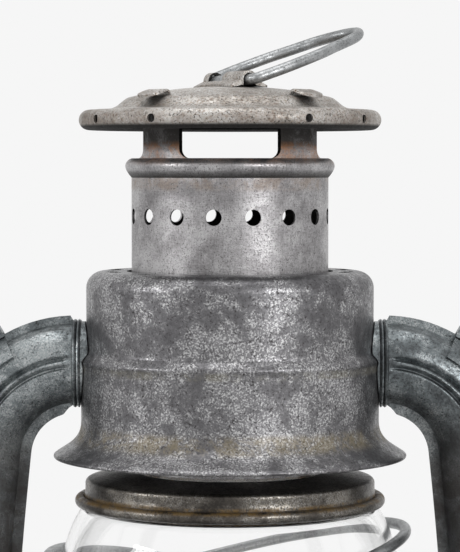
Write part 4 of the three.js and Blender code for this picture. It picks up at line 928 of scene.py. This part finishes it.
def make_hood(finish):
    """The hood: a rolled rim, a stepped brim and a low dome, with its holes and slits."""
    rim = HOOD_RIM_HEIGHT / 2
    brim = hood_top - HOOD_DOME_DROP - HOOD_BRIM_DROP
    roll = arc(HOOD_RADIUS - rim, brim - rim, rim, -90, 78, 20)
    share = (CHIMNEY_RADIUS - HOOD_CROWN_RADIUS) / (HOOD_DOME_RADIUS - HOOD_CROWN_RADIUS)
    skirt = through([
        roll[-1], *[(radius, brim + rise) for radius, rise in HOOD_STEP],
        (CHIMNEY_RADIUS - 0.4, hood_top - HOOD_DOME_DROP * share ** 2),
        *[(radius, hood_top - fall) for radius, fall in HOOD_CROWN]], 6)
    shell = lathe("hood_shell", thicken([
        (HOOD_RADIUS - rim - HOOD_CURL, brim - HOOD_RIM_HEIGHT + HOOD_CURL / 2), *roll, *skirt[1:],
        (0, hood_top)]), ROUND_SHOWN)
    tools = []
    half = TAB_WIDTH / 2 + 0.4
    for corner in range(45, 360, 90):
        tools.append(block((CHIMNEY_RADIUS - 1, -half, upright_top - 1),
                           (CHIMNEY_RADIUS + 0.4, half, hood_top), turned(corner)))
        for azimuth in (corner - HOLE_PAIR_ANGLE, corner + HOLE_PAIR_ANGLE):
            tools.append(rod(1, around(HOOD_RADIUS - rim, azimuth, brim - rim),
                             around(HOOD_RADIUS + 2, azimuth, brim - rim), 18))
    place(carve(shell, tools, 40), finish["hood"], "aged_steel", "crown", "hood")


def make_strap(finish):
    """The strap that holds the ring's pivot: bent over it, with two feet that sag with the hood."""
    base = hood_top + SEAT_GAP
    pivot, inner = base + RING_WIRE, RING_WIRE + 0.3
    foot = rounded([(-inner - STRAP_FOOT, base), (-inner, base), (-inner, base + 0.4)], 0.35, 3)
    line = [*foot, *arc(0, pivot, inner, 180, 0, 18), *[(-x, z) for x, z in foot[::-1]]]
    section = thicken(line, STRAP_SHEET)
    half = STRAP_LENGTH / 2
    rings = []
    for i in range(STRAP_STATIONS + 1):
        y = half * (1 - 2 * i / STRAP_STATIONS)
        sag = STRAP_SAG * (0.4 + 0.6 * (y / half) ** 2)
        rings.append([turned(RING_TURN) @ Vector((
            x, y, z - sag * min(max((abs(x) - inner) / STRAP_FOOT, 0), 1))) for x, z in section])
    near = -half + STRAP_NEAR_LOBE
    window = block((-inner - 0.7, near, base - 1), (inner + 0.7, near + STRAP_WINDOW, pivot + inner * 2),
                   turned(RING_TURN))
    strap = carve(loft("ring_saddle", rings), [window])
    place(strap, finish["hood"], "aged_steel", "crown", "ring_strap")


def make_ring(finish):
    """The ring: a straight pivot under the strap, two shoulders and a long rounded nose."""
    wide, pivot_half = RING_WIDTH / 2, RING_PIVOT_HALF
    side = [(0, pivot_half / 2), (0, pivot_half - 2.2), (0.4, pivot_half - 0.8), (1.8, pivot_half + 0.5),
            *[(RING_LENGTH * along, wide - inset) for along, inset in (
                (0.25, 0), (0.5, 0.7), (0.65, 2.5), (0.85, 4.8), (0.97, 9.5))]]
    loop = [*side, (RING_LENGTH, 0), *[(x, -y) for x, y in side[::-1]]]
    smooth = through([loop[-1], *loop, loop[0], loop[1]], 8)[8:-9]
    tilt = (turned(RING_TURN) @ Matrix.Translation((0, 0, hood_top + SEAT_GAP + RING_WIRE))
            @ turned(-RING_RISE, "Y"))
    ring = wire("carrying_ring", [tilt @ Vector((x, y, 0)) for x, y in smooth], RING_WIRE, closed=True)
    place(ring, finish["wire"], "wire_steel", "hood_ring", "hood_ring")


# Air chamber and side tubes

def chamber_line():
    """The air chamber's outside from the hem of its flare up to its mouth round the chimney."""
    edge = CHAMBER_LOWER + FLARE_REACH
    hem = arc(edge - CHAMBER_HEM, chamber_edge + CHAMBER_HEM, CHAMBER_HEM, -120, 45, 8)
    flare = bezier(hem[-1], (edge - 2.6, chamber_edge + 2.7), (CHAMBER_LOWER, drum_foot - 4.6),
                   (CHAMBER_LOWER, drum_foot), 16)
    ridge = drum_foot + RIDGE_LEVEL
    body = rounded([
        (CHAMBER_LOWER, drum_foot + 1), (CHAMBER_LOWER, ridge - 0.4), (CHAMBER_LOWER + 0.35, ridge + 0.6),
        (CHAMBER_LOWER - 0.2, ridge + 1.6), (CHAMBER_UPPER + 0.1, ridge + 2.6),
        (CHAMBER_UPPER, ridge + 4), (CHAMBER_UPPER, ridge + 6)], 0.6, 4)
    curve = CHAMBER_SHOULDER
    shoulder = arc(CHAMBER_UPPER - curve, drum_top - curve, curve, 0, 90, 16)
    return [*hem, *flare[1:], *body, *shoulder, (CHIMNEY_RADIUS + 1.2, drum_top)]


def make_air_chamber(finish):
    """The air chamber with its slots and both tube mouths, and the look of its inner nodes."""
    shell = lathe("air_chamber_shell", thicken(chamber_line()), ROUND_SHOWN)
    reach = SLOT_HALF - SLOT_END
    outline = [*arc(0, reach, SLOT_END, 0, 180, 10), *arc(0, -reach, SLOT_END, 180, 360, 10)]
    tools = []
    for i in range(SLOT_COUNT):
        move = turned((i + 0.5) * 360 / SLOT_COUNT) @ Matrix.Translation((SLOT_CIRCLE, 0, drum_top - 2))
        tools.append(prism("slot", outline, 4, move))
    for side in (-1, 1):
        tools.append(rod(TUBE_HALF_DEPTH - SHEET * 2, (side * (CHAMBER_UPPER - 6), 0, tube_mouth),
                         (side * (CHAMBER_LOWER + 4), 0, tube_mouth)))
    place(carve(shell, tools), finish["chamber"], "aged_steel", "frame", "air_chamber")
    for node in ("chamber_floor", "chamber_liner"):
        dress(node, finish["chamber"])


def tube_route():
    """The side tube's centreline in the plane y = 0, from its mouth down to the air dome."""
    turns = [90, 90 - COLLAR_TRIM, 89.6 - COLLAR_TRIM]
    turns += [turns[2] + (90 - BEND_TURN - turns[2]) * (i + 1) / BEND_STEPS for i in range(BEND_STEPS)]
    bend = [arc(BEND_START, bend_centre, BEND_RADIUS, turn, turn, 1)[0] for turn in turns]
    leave = Vector((cos(radians(BEND_TURN)), -sin(radians(BEND_TURN))))
    square = Vector((sin(dome_slope), cos(dome_slope)))
    last = Vector(bend[-1])
    end = Vector((TUBE_FOOT_RADIUS, dome_level(TUBE_FOOT_RADIUS))) + square * SEAT_GAP
    leg = bezier(last, last + leave * UPPER_PULL, end + square * LOWER_PULL, end, LEG_STEPS)
    return [(CHAMBER_LOWER + 0.5, tube_mouth), *bend, *leg[1:]]


def tube_frames():
    """Each centreline point with the direction to the inside of the bend."""
    line = tube_route()
    frames = []
    for i, (x, z) in enumerate(line):
        a, b = line[max(i - 1, 0)], line[min(i + 1, len(line) - 1)]
        along = Vector((b[0] - a[0], 0, b[1] - a[1])).normalized()
        frames.append((Vector((x, 0, z)), Vector((0, 1, 0)).cross(along)))
    return frames


def pressing(x):
    """How far the tube's skin stands out at x: a raised panel, a groove, a rib and a crease."""
    panel = 0.5 / (1 + math.exp((x + 2.3) / 0.14)) / (1 + math.exp(-(x + 8.4) / 0.1))
    groove = 0.75 * math.exp(-((x + 1.65) / 0.38) ** 2)
    rib = 0.4 * math.exp(-((x + 0.55) / 0.45) ** 2)
    crease = 0.75 * math.exp(-((x - 0.6) / 0.4) ** 2)
    return panel - groove + rib - crease


def tube_section(side, raised, inner, outer):
    """Half of the tube's section: the pressed skin, and both seam flanges with their widths."""
    gap, w, d = SEAM_GAP / 2, TUBE_HALF_WIDTH, TUBE_HALF_DEPTH - SHEET
    across = [w * cos(radians(a)) for a in range(0, 78, 6)]
    across += [1.9 - 0.2 * i for i in range(26)]
    across += [w * cos(radians(a)) for a in range(112, 181, 4)]
    outside = [(w + inner, gap), (w + inner, gap + SHEET), (w + 0.3, gap + SHEET)]
    for x in across:
        y = d * math.sqrt(max(1 - (x / w) ** 2, 0))
        out = Vector((x / w ** 2, y / d ** 2)).normalized() * raised * pressing(x)
        outside.append((x + out.x, gap + SHEET + y + out.y))
    outside += [(-w - 0.2, gap + SHEET), (-w - outer, gap + SHEET), (-w - outer, gap)]
    inside = [((w - SHEET) * cos(radians(a)), gap + d * sin(radians(a)) * 0.96) for a in range(180, -1, -10)]
    return [(x, side * y) for x, y in [*outside, *inside]]


def make_side_tubes(finish):
    """Both tubes. Their pressing fades in and their inner flange widens along the bend."""
    for name, way in (("right", 1), ("left", -1)):
        for half, side in (("front", -1), ("back", 1)):
            rings = []
            for centre, inward in tube_frames():
                reach = centre.x - BEND_START if centre.z > bend_centre else 9
                raised = min(max((reach - 0.6) / 1.6, 0), 1)
                inner = BARE_FLANGE + (INNER_FLANGE - BARE_FLANGE) * min(max((reach - 0.7) / 5, 0), 1)
                section = tube_section(side, raised, inner, OUTER_FLANGE if reach > 0.7 else BARE_FLANGE)
                rings.append(mirrored([centre + inward * x + Vector((0, y, 0)) for x, y in section], way))
            tube = loft(f"tube_{name}_{half}", rings)
            place(tube, finish["tube"], "tube_steel", "frame", f"side_tube_{name}_{half}")
        place(tube_collar(name, way), finish["tube"], "rusty_steel", "frame", f"tube_collar_{name}")


def tube_collar(name, way):
    """The band that is soldered round the tube's mouth, cut to the chamber's curve. Its two beads are
    points of reach, back from its end, and of height over the tube."""
    end = CHAMBER_LOWER + 1.9
    start = CHAMBER_UPPER - TUBE_HALF_DEPTH / 2 - 0.1
    beads = ((0, 0.2), (0, 0.5), (0.15, 0.85), (0.5, 1.08), (0.85, 0.9), (1.0, 0.5), (1.15, 0.85),
             (1.5, 1.05), (1.9, 0.8), (2.1, 0.5))
    rings = []
    for x, rise in [(start, 0.2), *[(end - back, height) for back, height in beads], (start, 0.5)]:
        flat, depth = SEAM_GAP / 2 + SHEET, TUBE_HALF_DEPTH - SHEET + rise
        half = [((TUBE_HALF_WIDTH + rise) * u, flat + depth * v) for u, v in arc(0, 0, 1, 0, 180, 28)]
        oval = [*half, *[(-u, -v) for u, v in half]]
        rings.append([Vector((way * x, v, tube_mouth - u)) for u, v in oval])
    core = lathe("core", [
        (0, drum_foot), *[(r + SEAT_GAP, z) for r, z in chamber_line() if z >= drum_foot][:-1],
        (0, drum_top + 1)], 128)
    return carve(loft(f"collar_{name}", rings, closed=True), [core])


# Ears, bail, guard wires and lever

def crest_side(offset):
    """Half of the saddle's line over the tube's crest, from its lower edge to the seam flange."""
    w, d = TUBE_HALF_WIDTH + offset, TUBE_HALF_DEPTH + SEAM_GAP / 2 + offset
    flange = SEAM_GAP / 2 + SHEET + offset
    sweep = [radians(SADDLE_WRAP + (172 - SADDLE_WRAP) * i / 12) for i in range(13)]
    return [*[(w * cos(t), d * sin(t)) for t in sweep], (-w, flange),
            (-w - OUTER_FLANGE - offset * 0.5, flange)]


def saddle(name, way):
    """The strap over the tube's crest that carries an ear."""
    outer, inner = crest_side(SEAT_GAP + HEAVY_SHEET), crest_side(SEAT_GAP)
    section = [*outer, *[(x, -y) for x, y in outer[::-1]], *[(x, -y) for x, y in inner], *inner[::-1]]
    first, last = (math.acos((x - BEND_START) / crest_radius)
                   for x in (SADDLE_START, EAR_FROM_AXIS + HEAVY_SHEET))
    rings = []
    for i in range(15):
        turn = first + (last - first) * i / 14
        out = Vector((cos(turn), 0, sin(turn)))
        centre = Vector((BEND_START, 0, bend_centre)) + out * BEND_RADIUS
        rings.append(mirrored([centre - out * x + Vector((0, y, 0)) for x, y in section], way))
    return loft(f"saddle_{name}", rings)


def make_ears(finish):
    """The bail's eyes: a plate with a soft edge on each saddle."""
    low = ear_eye - EAR_RISE - 0.6
    outline = [*arc(0, ear_eye, EAR_RADIUS, 0, 180, 24), (-EAR_RADIUS, low), (EAR_RADIUS, low)]
    for name, way in (("right", 1), ("left", -1)):
        strap = saddle(name, way)
        plates = [[Vector((way * (EAR_FROM_AXIS + x), y * size, ear_eye + (z - ear_eye) * size))
                   for y, z in outline]
                  for x, size in ((0, 0.96), (0.15, 1), (HEAVY_SHEET - 0.15, 1), (HEAVY_SHEET, 0.96))]
        ear = loft(f"eye_{name}", plates)
        hole = rod(BAIL_WIRE + 0.4, (way * (EAR_FROM_AXIS - 2), 0, ear_eye),
                   (way * (EAR_FROM_AXIS + 4), 0, ear_eye))
        ear = joined(f"bail_eye_{name}", [carve(ear, [hole]), strap])
        place(ear, finish["tube"], "tube_steel", "frame", f"bail_ear_{name}")


def make_bail(finish):
    """The bail: hooked in through both eyes, with upright legs and a rounded middle."""
    inner = EAR_FROM_AXIS - 1.5
    side = [(inner, 0), (inner + 3, 0),
            *arc(BAIL_HALF_SPAN - BAIL_CORNER, BAIL_CORNER, BAIL_CORNER, -90, 0, 10),
            (BAIL_HALF_SPAN, BAIL_LEG * 0.5),
            *arc(0, BAIL_LEG, BAIL_HALF_SPAN, 0, 84, 21, (BAIL_LENGTH - BAIL_LEG) / BAIL_HALF_SPAN)]
    line = [*side, (0, BAIL_LENGTH), *[(-x, drop) for x, drop in side[::-1]]]
    move = Matrix.Translation((0, 0, ear_eye)) @ turned(BAIL_LEAN, "X")
    bail = wire("bail_wire", [move @ Vector((x, 0, -drop)) for x, drop in line], BAIL_WIRE)
    place(bail, finish["wire"], "wire_steel", "bail", "bail")


def make_guard_wires(finish):
    """The two wires round the globe: ovals that slope down to one side each."""
    slope = math.tan(radians(GUARD_SLOPE))
    for node, way in (("guard_wire_upper", 1), ("guard_wire_lower", -1)):
        low, high = (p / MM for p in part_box(node))
        left, right = low.x + GUARD_WIRE, high.x - GUARD_WIRE
        depth, top = high.y - GUARD_WIRE, high.z - GUARD_WIRE
        reach = right if way > 0 else -left
        line = []
        for x, y in arc(0, 0, 1, 0, 360 - 360 / GUARD_STEPS, GUARD_STEPS - 1):
            x = (left + right) / 2 + (right - left) / 2 * x
            line.append(Vector((x, depth * y, top - (reach - way * x) * slope)))
        guard = wire(node.replace("guard_wire", "globe_guard"), line, GUARD_WIRE, closed=True)
        place(guard, finish["wire"], "wire_steel", "frame", node)


def make_lever(finish):
    """The lift lever: a bar with a hole for its pin, a thin inner end and a thumb pad."""
    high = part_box("lift_lever")[1] / MM
    pin_low, pin_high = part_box("lever_pin")
    pivot = (pin_low + pin_high) / 2 / MM
    tip, back = high.z - pivot.z, high.y
    outline = rounded([
        (-24.3, tip - 2.8), (0, -3), (LEVER_REACH, -3.6), (LEVER_REACH, 0.4), (0, 3), (-24.3, tip),
        (-LEVER_REACH, tip), (-LEVER_REACH, tip - 2), (-24.3, tip - 2.8)], 1.2, 4)[:-1]
    bar = loft("lever_bar", [
        [Vector((pivot.x + x, back - y, pivot.z + z)) for x, z in outline] for y in (0, HEAVY_SHEET)])
    hole = rod(1.6, (pivot.x, back + 1, pivot.z), (pivot.x, back - 3, pivot.z))
    end, level = pivot.x + LEVER_REACH, pivot.z - 1.6
    tab = rounded([(end, back - 0.6), (end, back - LEVER_PAD), (end - LEVER_PAD, back - LEVER_PAD),
                   (end - LEVER_PAD, back - 0.6)], 2.4, 6)
    pad = loft("pad", [[Vector((x, y, level + z)) for x, y in tab] for z in (-SHEET, SHEET)])
    bar = joined("lever", [carve(bar, [hole]), pad])
    place(bar, finish["wire"], "wire_steel", "lift_lever", "lift_lever")
    dress("lever_pin", finish["wire"])


# The stage: floor, backdrop tone, soft boxes and the camera at the photograph's angle

def soft_box(name, place_at, size, power):
    """A square area lamp that faces the lantern."""
    light = bpy.data.lights.new(name, "AREA")
    light.shape, light.size, light.energy = "SQUARE", size, power
    made = bpy.data.objects.new(name, light)
    made.location = place_at
    made.rotation_euler = (Vector(LAMP_AIM) - Vector(place_at)).to_track_quat("-Z", "Y").to_euler()
    bpy.context.scene.collection.objects.link(made)


def seen_directly(tree):
    """1 for rays that look at the stage itself, through glass, or as a mirror image; 0 for its light."""
    path = add(tree, "LightPath").outputs
    indirect = add(tree, "Math", (path["Is Transmission Ray"], path["Is Glossy Ray"]), operation="MAXIMUM")
    return add(tree, "Math", (path["Is Camera Ray"], indirect), operation="MAXIMUM")


def pale_world(backdrop, front, back):
    """A near-white backdrop, with even room light that is brighter from behind the lantern."""
    world = bpy.data.worlds.new("studio_room")
    world.use_nodes = True
    tree = world.node_tree
    tree.nodes.clear()
    toward = add(tree, "SeparateXYZ", (add(tree, "TexCoord").outputs["Generated"],)).outputs["Y"]
    level = add(tree, "MapRange", (toward, -0.6, 0.8, front, back), **SMOOTH)
    room = add(tree, "Background", (linear("#f2f4f5"), level))
    seen = add(tree, "Background", ((*backdrop, 1), 1))
    mixed = add(tree, "MixShader", (seen_directly(tree), room, seen))
    add(tree, "OutputWorld", (mixed,))
    bpy.context.scene.world = world


def pale_floor(colour, backdrop):
    """A wide pale floor, matt like painted board, that runs out into the backdrop's colour."""
    material, tree, shader = new_material("painted_board_matt")
    where = add(tree, "TexCoord").outputs["Object"]
    nap = add(tree, "TexNoise", {"Vector": where, "Scale": 1 / (2 * MM), "Detail": 2, "Roughness": 0.5})
    fill(tree, shader, {
        "Base Color": (*colour, 1), "Roughness": 0.8,
        "Normal": add(tree, "Bump", {"Height": nap, "Strength": 0.05, "Distance": 0.1 * MM})})
    away = add(tree, "VectorMath", (where,), operation="LENGTH")
    far = add(tree, "MapRange", (away, 0.12, 0.34), **SMOOTH)
    fade = add(tree, "Math", (far, seen_directly(tree)), operation="MULTIPLY")
    glow = add(tree, "Emission", {"Color": (*backdrop, 1), "Strength": 1})
    mixed = add(tree, "MixShader", (fade, shader, glow))
    fill(tree, tree.nodes["Material Output"], {"Surface": mixed})
    edge = [around(FLOOR_RADIUS, 360 * i / FLOOR_SIDES, -FLOOR_DROP) for i in range(FLOOR_SIDES)]
    disc = object_from("floor", edge, [tuple(range(FLOOR_SIDES))])
    disc.data.materials.append(material)


class LanternSizes(bpy.types.PropertyGroup):
    glass: FloatProperty(
        name="Glass", description="Thickness of the globe's wall", default=0.002, min=0.001, max=0.004,
        unit="LENGTH")


class LanternColours(bpy.types.PropertyGroup):
    dark: StringProperty(
        name="Dark tin", description="Hex colour of the sheet's darkest clouds", default="#535254")
    mid: StringProperty(
        name="Mid tin", description="Hex colour of most of the sheet", default="#686769")
    light: StringProperty(
        name="Light tin", description="Hex colour of the sheet's brightest clouds", default="#858486")


class StageSettings(bpy.types.PropertyGroup):
    backdrop: FloatVectorProperty(
        name="Backdrop", description="Colour behind the lantern", size=3, default=linear("#f6f6f6")[:3],
        min=0, max=1, subtype="COLOR")
    floor: FloatVectorProperty(
        name="Floor", description="Colour of the floor", size=3, default=linear("#e9e9e8")[:3],
        min=0, max=1, subtype="COLOR")
    front: FloatProperty(
        name="Front light", description="Level of the room's light from the camera's side", default=0.3,
        min=0, max=2)
    back: FloatProperty(
        name="Back light", description="Level of the room's light from behind the lantern", default=0.85,
        min=0, max=2)
    distance: FloatProperty(
        name="Camera distance", description="From the lens to the lantern's axis", default=0.632,
        min=0.2, max=3, unit="LENGTH")
    height: FloatProperty(
        name="Camera height", description="Of the lens above the floor", default=0.2415, unit="LENGTH")
    pitch: FloatProperty(
        name="Camera tilt", description="How far the camera looks down", default=radians(2.414),
        unit="ROTATION")
    lens: FloatProperty(
        name="Lens", description="Focal length in millimetres", default=171.7, min=20, max=300)


FINISHES = {}


def finishes(context):
    """The lantern's materials, made once from the chosen colours."""
    if not FINISHES:
        FINISHES.update(materials(context.scene.lantern_colours))
    return FINISHES


class LANTERN_OT_fount(bpy.types.Operator):
    """Oil fount: the flat base and the beaded reservoir on it"""
    bl_idname = "lantern.fount"
    bl_label = "Fount"

    def execute(self, context):
        make_fount(finishes(context))
        return {"FINISHED"}


class LANTERN_OT_air_dome(bpy.types.Operator):
    """Air dome over the fount, which the side tubes stand on"""
    bl_idname = "lantern.air_dome"
    bl_label = "Air dome"

    def execute(self, context):
        make_air_dome(finishes(context))
        return {"FINISHED"}


class LANTERN_OT_filler(bpy.types.Operator):
    """Filler spout and its waisted cap"""
    bl_idname = "lantern.filler"
    bl_label = "Filler"

    def execute(self, context):
        make_filler(finishes(context))
        return {"FINISHED"}


class LANTERN_OT_burner(bpy.types.Operator):
    """Burner deck, cone, wick and winding knob"""
    bl_idname = "lantern.burner"
    bl_label = "Burner"

    def execute(self, context):
        make_burner(finishes(context))
        return {"FINISHED"}


class LANTERN_OT_globe(bpy.types.Operator):
    """Glass globe and the plate that carries it"""
    bl_idname = "lantern.globe"
    bl_label = "Globe and plate"

    def execute(self, context):
        make_globe_plate(finishes(context))
        make_globe(finishes(context), context.scene.lantern_sizes.glass / MM)
        return {"FINISHED"}


class LANTERN_OT_chimney(bpy.types.Operator):
    """Top plate and perforated chimney with its four uprights"""
    bl_idname = "lantern.chimney"
    bl_label = "Top plate and chimney"

    def execute(self, context):
        make_top_plate(finishes(context))
        make_chimney(finishes(context))
        return {"FINISHED"}


class LANTERN_OT_hood(bpy.types.Operator):
    """Hood with its rolled rim, strap and carrying ring"""
    bl_idname = "lantern.hood"
    bl_label = "Hood and ring"

    def execute(self, context):
        make_hood(finishes(context))
        make_strap(finishes(context))
        make_ring(finishes(context))
        return {"FINISHED"}


class LANTERN_OT_air_chamber(bpy.types.Operator):
    """Air chamber round the chimney, with its ridge and flared skirt"""
    bl_idname = "lantern.air_chamber"
    bl_label = "Air chamber"

    def execute(self, context):
        make_air_chamber(finishes(context))
        return {"FINISHED"}


class LANTERN_OT_side_tubes(bpy.types.Operator):
    """Both side tubes, each of two pressed halves, with their collars and bail eyes"""
    bl_idname = "lantern.side_tubes"
    bl_label = "Side tubes"

    def execute(self, context):
        make_side_tubes(finishes(context))
        make_ears(finishes(context))
        return {"FINISHED"}


class LANTERN_OT_wires(bpy.types.Operator):
    """Globe guard wires, bail and lift lever"""
    bl_idname = "lantern.wires"
    bl_label = "Wires and lever"

    def execute(self, context):
        make_guard_wires(finishes(context))
        make_bail(finishes(context))
        make_lever(finishes(context))
        return {"FINISHED"}


class LANTERN_OT_stage(bpy.types.Operator):
    """Floor, soft light and the camera"""
    bl_idname = "lantern.stage"
    bl_label = "Stage"

    def execute(self, context):
        stage = context.scene.lantern_stage
        pale_floor(stage.floor, stage.backdrop)
        pale_world(stage.backdrop, stage.front, stage.back)
        for box in SOFT_BOXES:
            soft_box(*box)
        data = bpy.data.cameras.new("camera")
        data.lens, data.sensor_width, data.clip_start = stage.lens, SENSOR_WIDTH, CLIP_START
        camera = bpy.data.objects.new("camera", data)
        camera.location = (0, -stage.distance, stage.height)
        camera.rotation_euler = (pi / 2 - stage.pitch, 0, 0)
        context.scene.collection.objects.link(camera)
        context.scene.camera = camera
        context.scene.view_settings.view_transform = "Standard"
        return {"FINISHED"}


OPERATORS = (LANTERN_OT_fount, LANTERN_OT_air_dome, LANTERN_OT_filler, LANTERN_OT_burner, LANTERN_OT_globe,
             LANTERN_OT_chimney, LANTERN_OT_hood, LANTERN_OT_air_chamber, LANTERN_OT_side_tubes,
             LANTERN_OT_wires, LANTERN_OT_stage)


class LANTERN_PT_panel(bpy.types.Panel):
    """Lists the lantern's pieces in the order that they are made"""
    bl_idname = "LANTERN_PT_panel"
    bl_label = "Hurricane Lantern"
    bl_space_type = "VIEW_3D"
    bl_region_type = "UI"
    bl_category = "Lantern"

    def draw(self, context):
        layout = self.layout
        layout.prop(context.scene.lantern_sizes, "glass")
        for name in ("dark", "mid", "light"):
            layout.prop(context.scene.lantern_colours, name)
        for name in ("backdrop", "floor", "front", "back", "distance", "height", "pitch", "lens"):
            layout.prop(context.scene.lantern_stage, name)
        for operator in OPERATORS:
            layout.operator(operator.bl_idname)


CLASSES = (LanternSizes, LanternColours, StageSettings, *OPERATORS, LANTERN_PT_panel)


def register():
    for cls in CLASSES:
        bpy.utils.register_class(cls)
    bpy.types.Scene.lantern_sizes = bpy.props.PointerProperty(type=LanternSizes)
    bpy.types.Scene.lantern_colours = bpy.props.PointerProperty(type=LanternColours)
    bpy.types.Scene.lantern_stage = bpy.props.PointerProperty(type=StageSettings)


def unregister():
    del bpy.types.Scene.lantern_sizes
    del bpy.types.Scene.lantern_colours
    del bpy.types.Scene.lantern_stage
    for cls in reversed(CLASSES):
        bpy.utils.unregister_class(cls)


def main():
    """Builds the lantern and its stage."""
    register()
    for operator in OPERATORS:
        getattr(bpy.ops.lantern, operator.bl_idname.split(".")[1])()


if __name__ == "__main__":
    main()
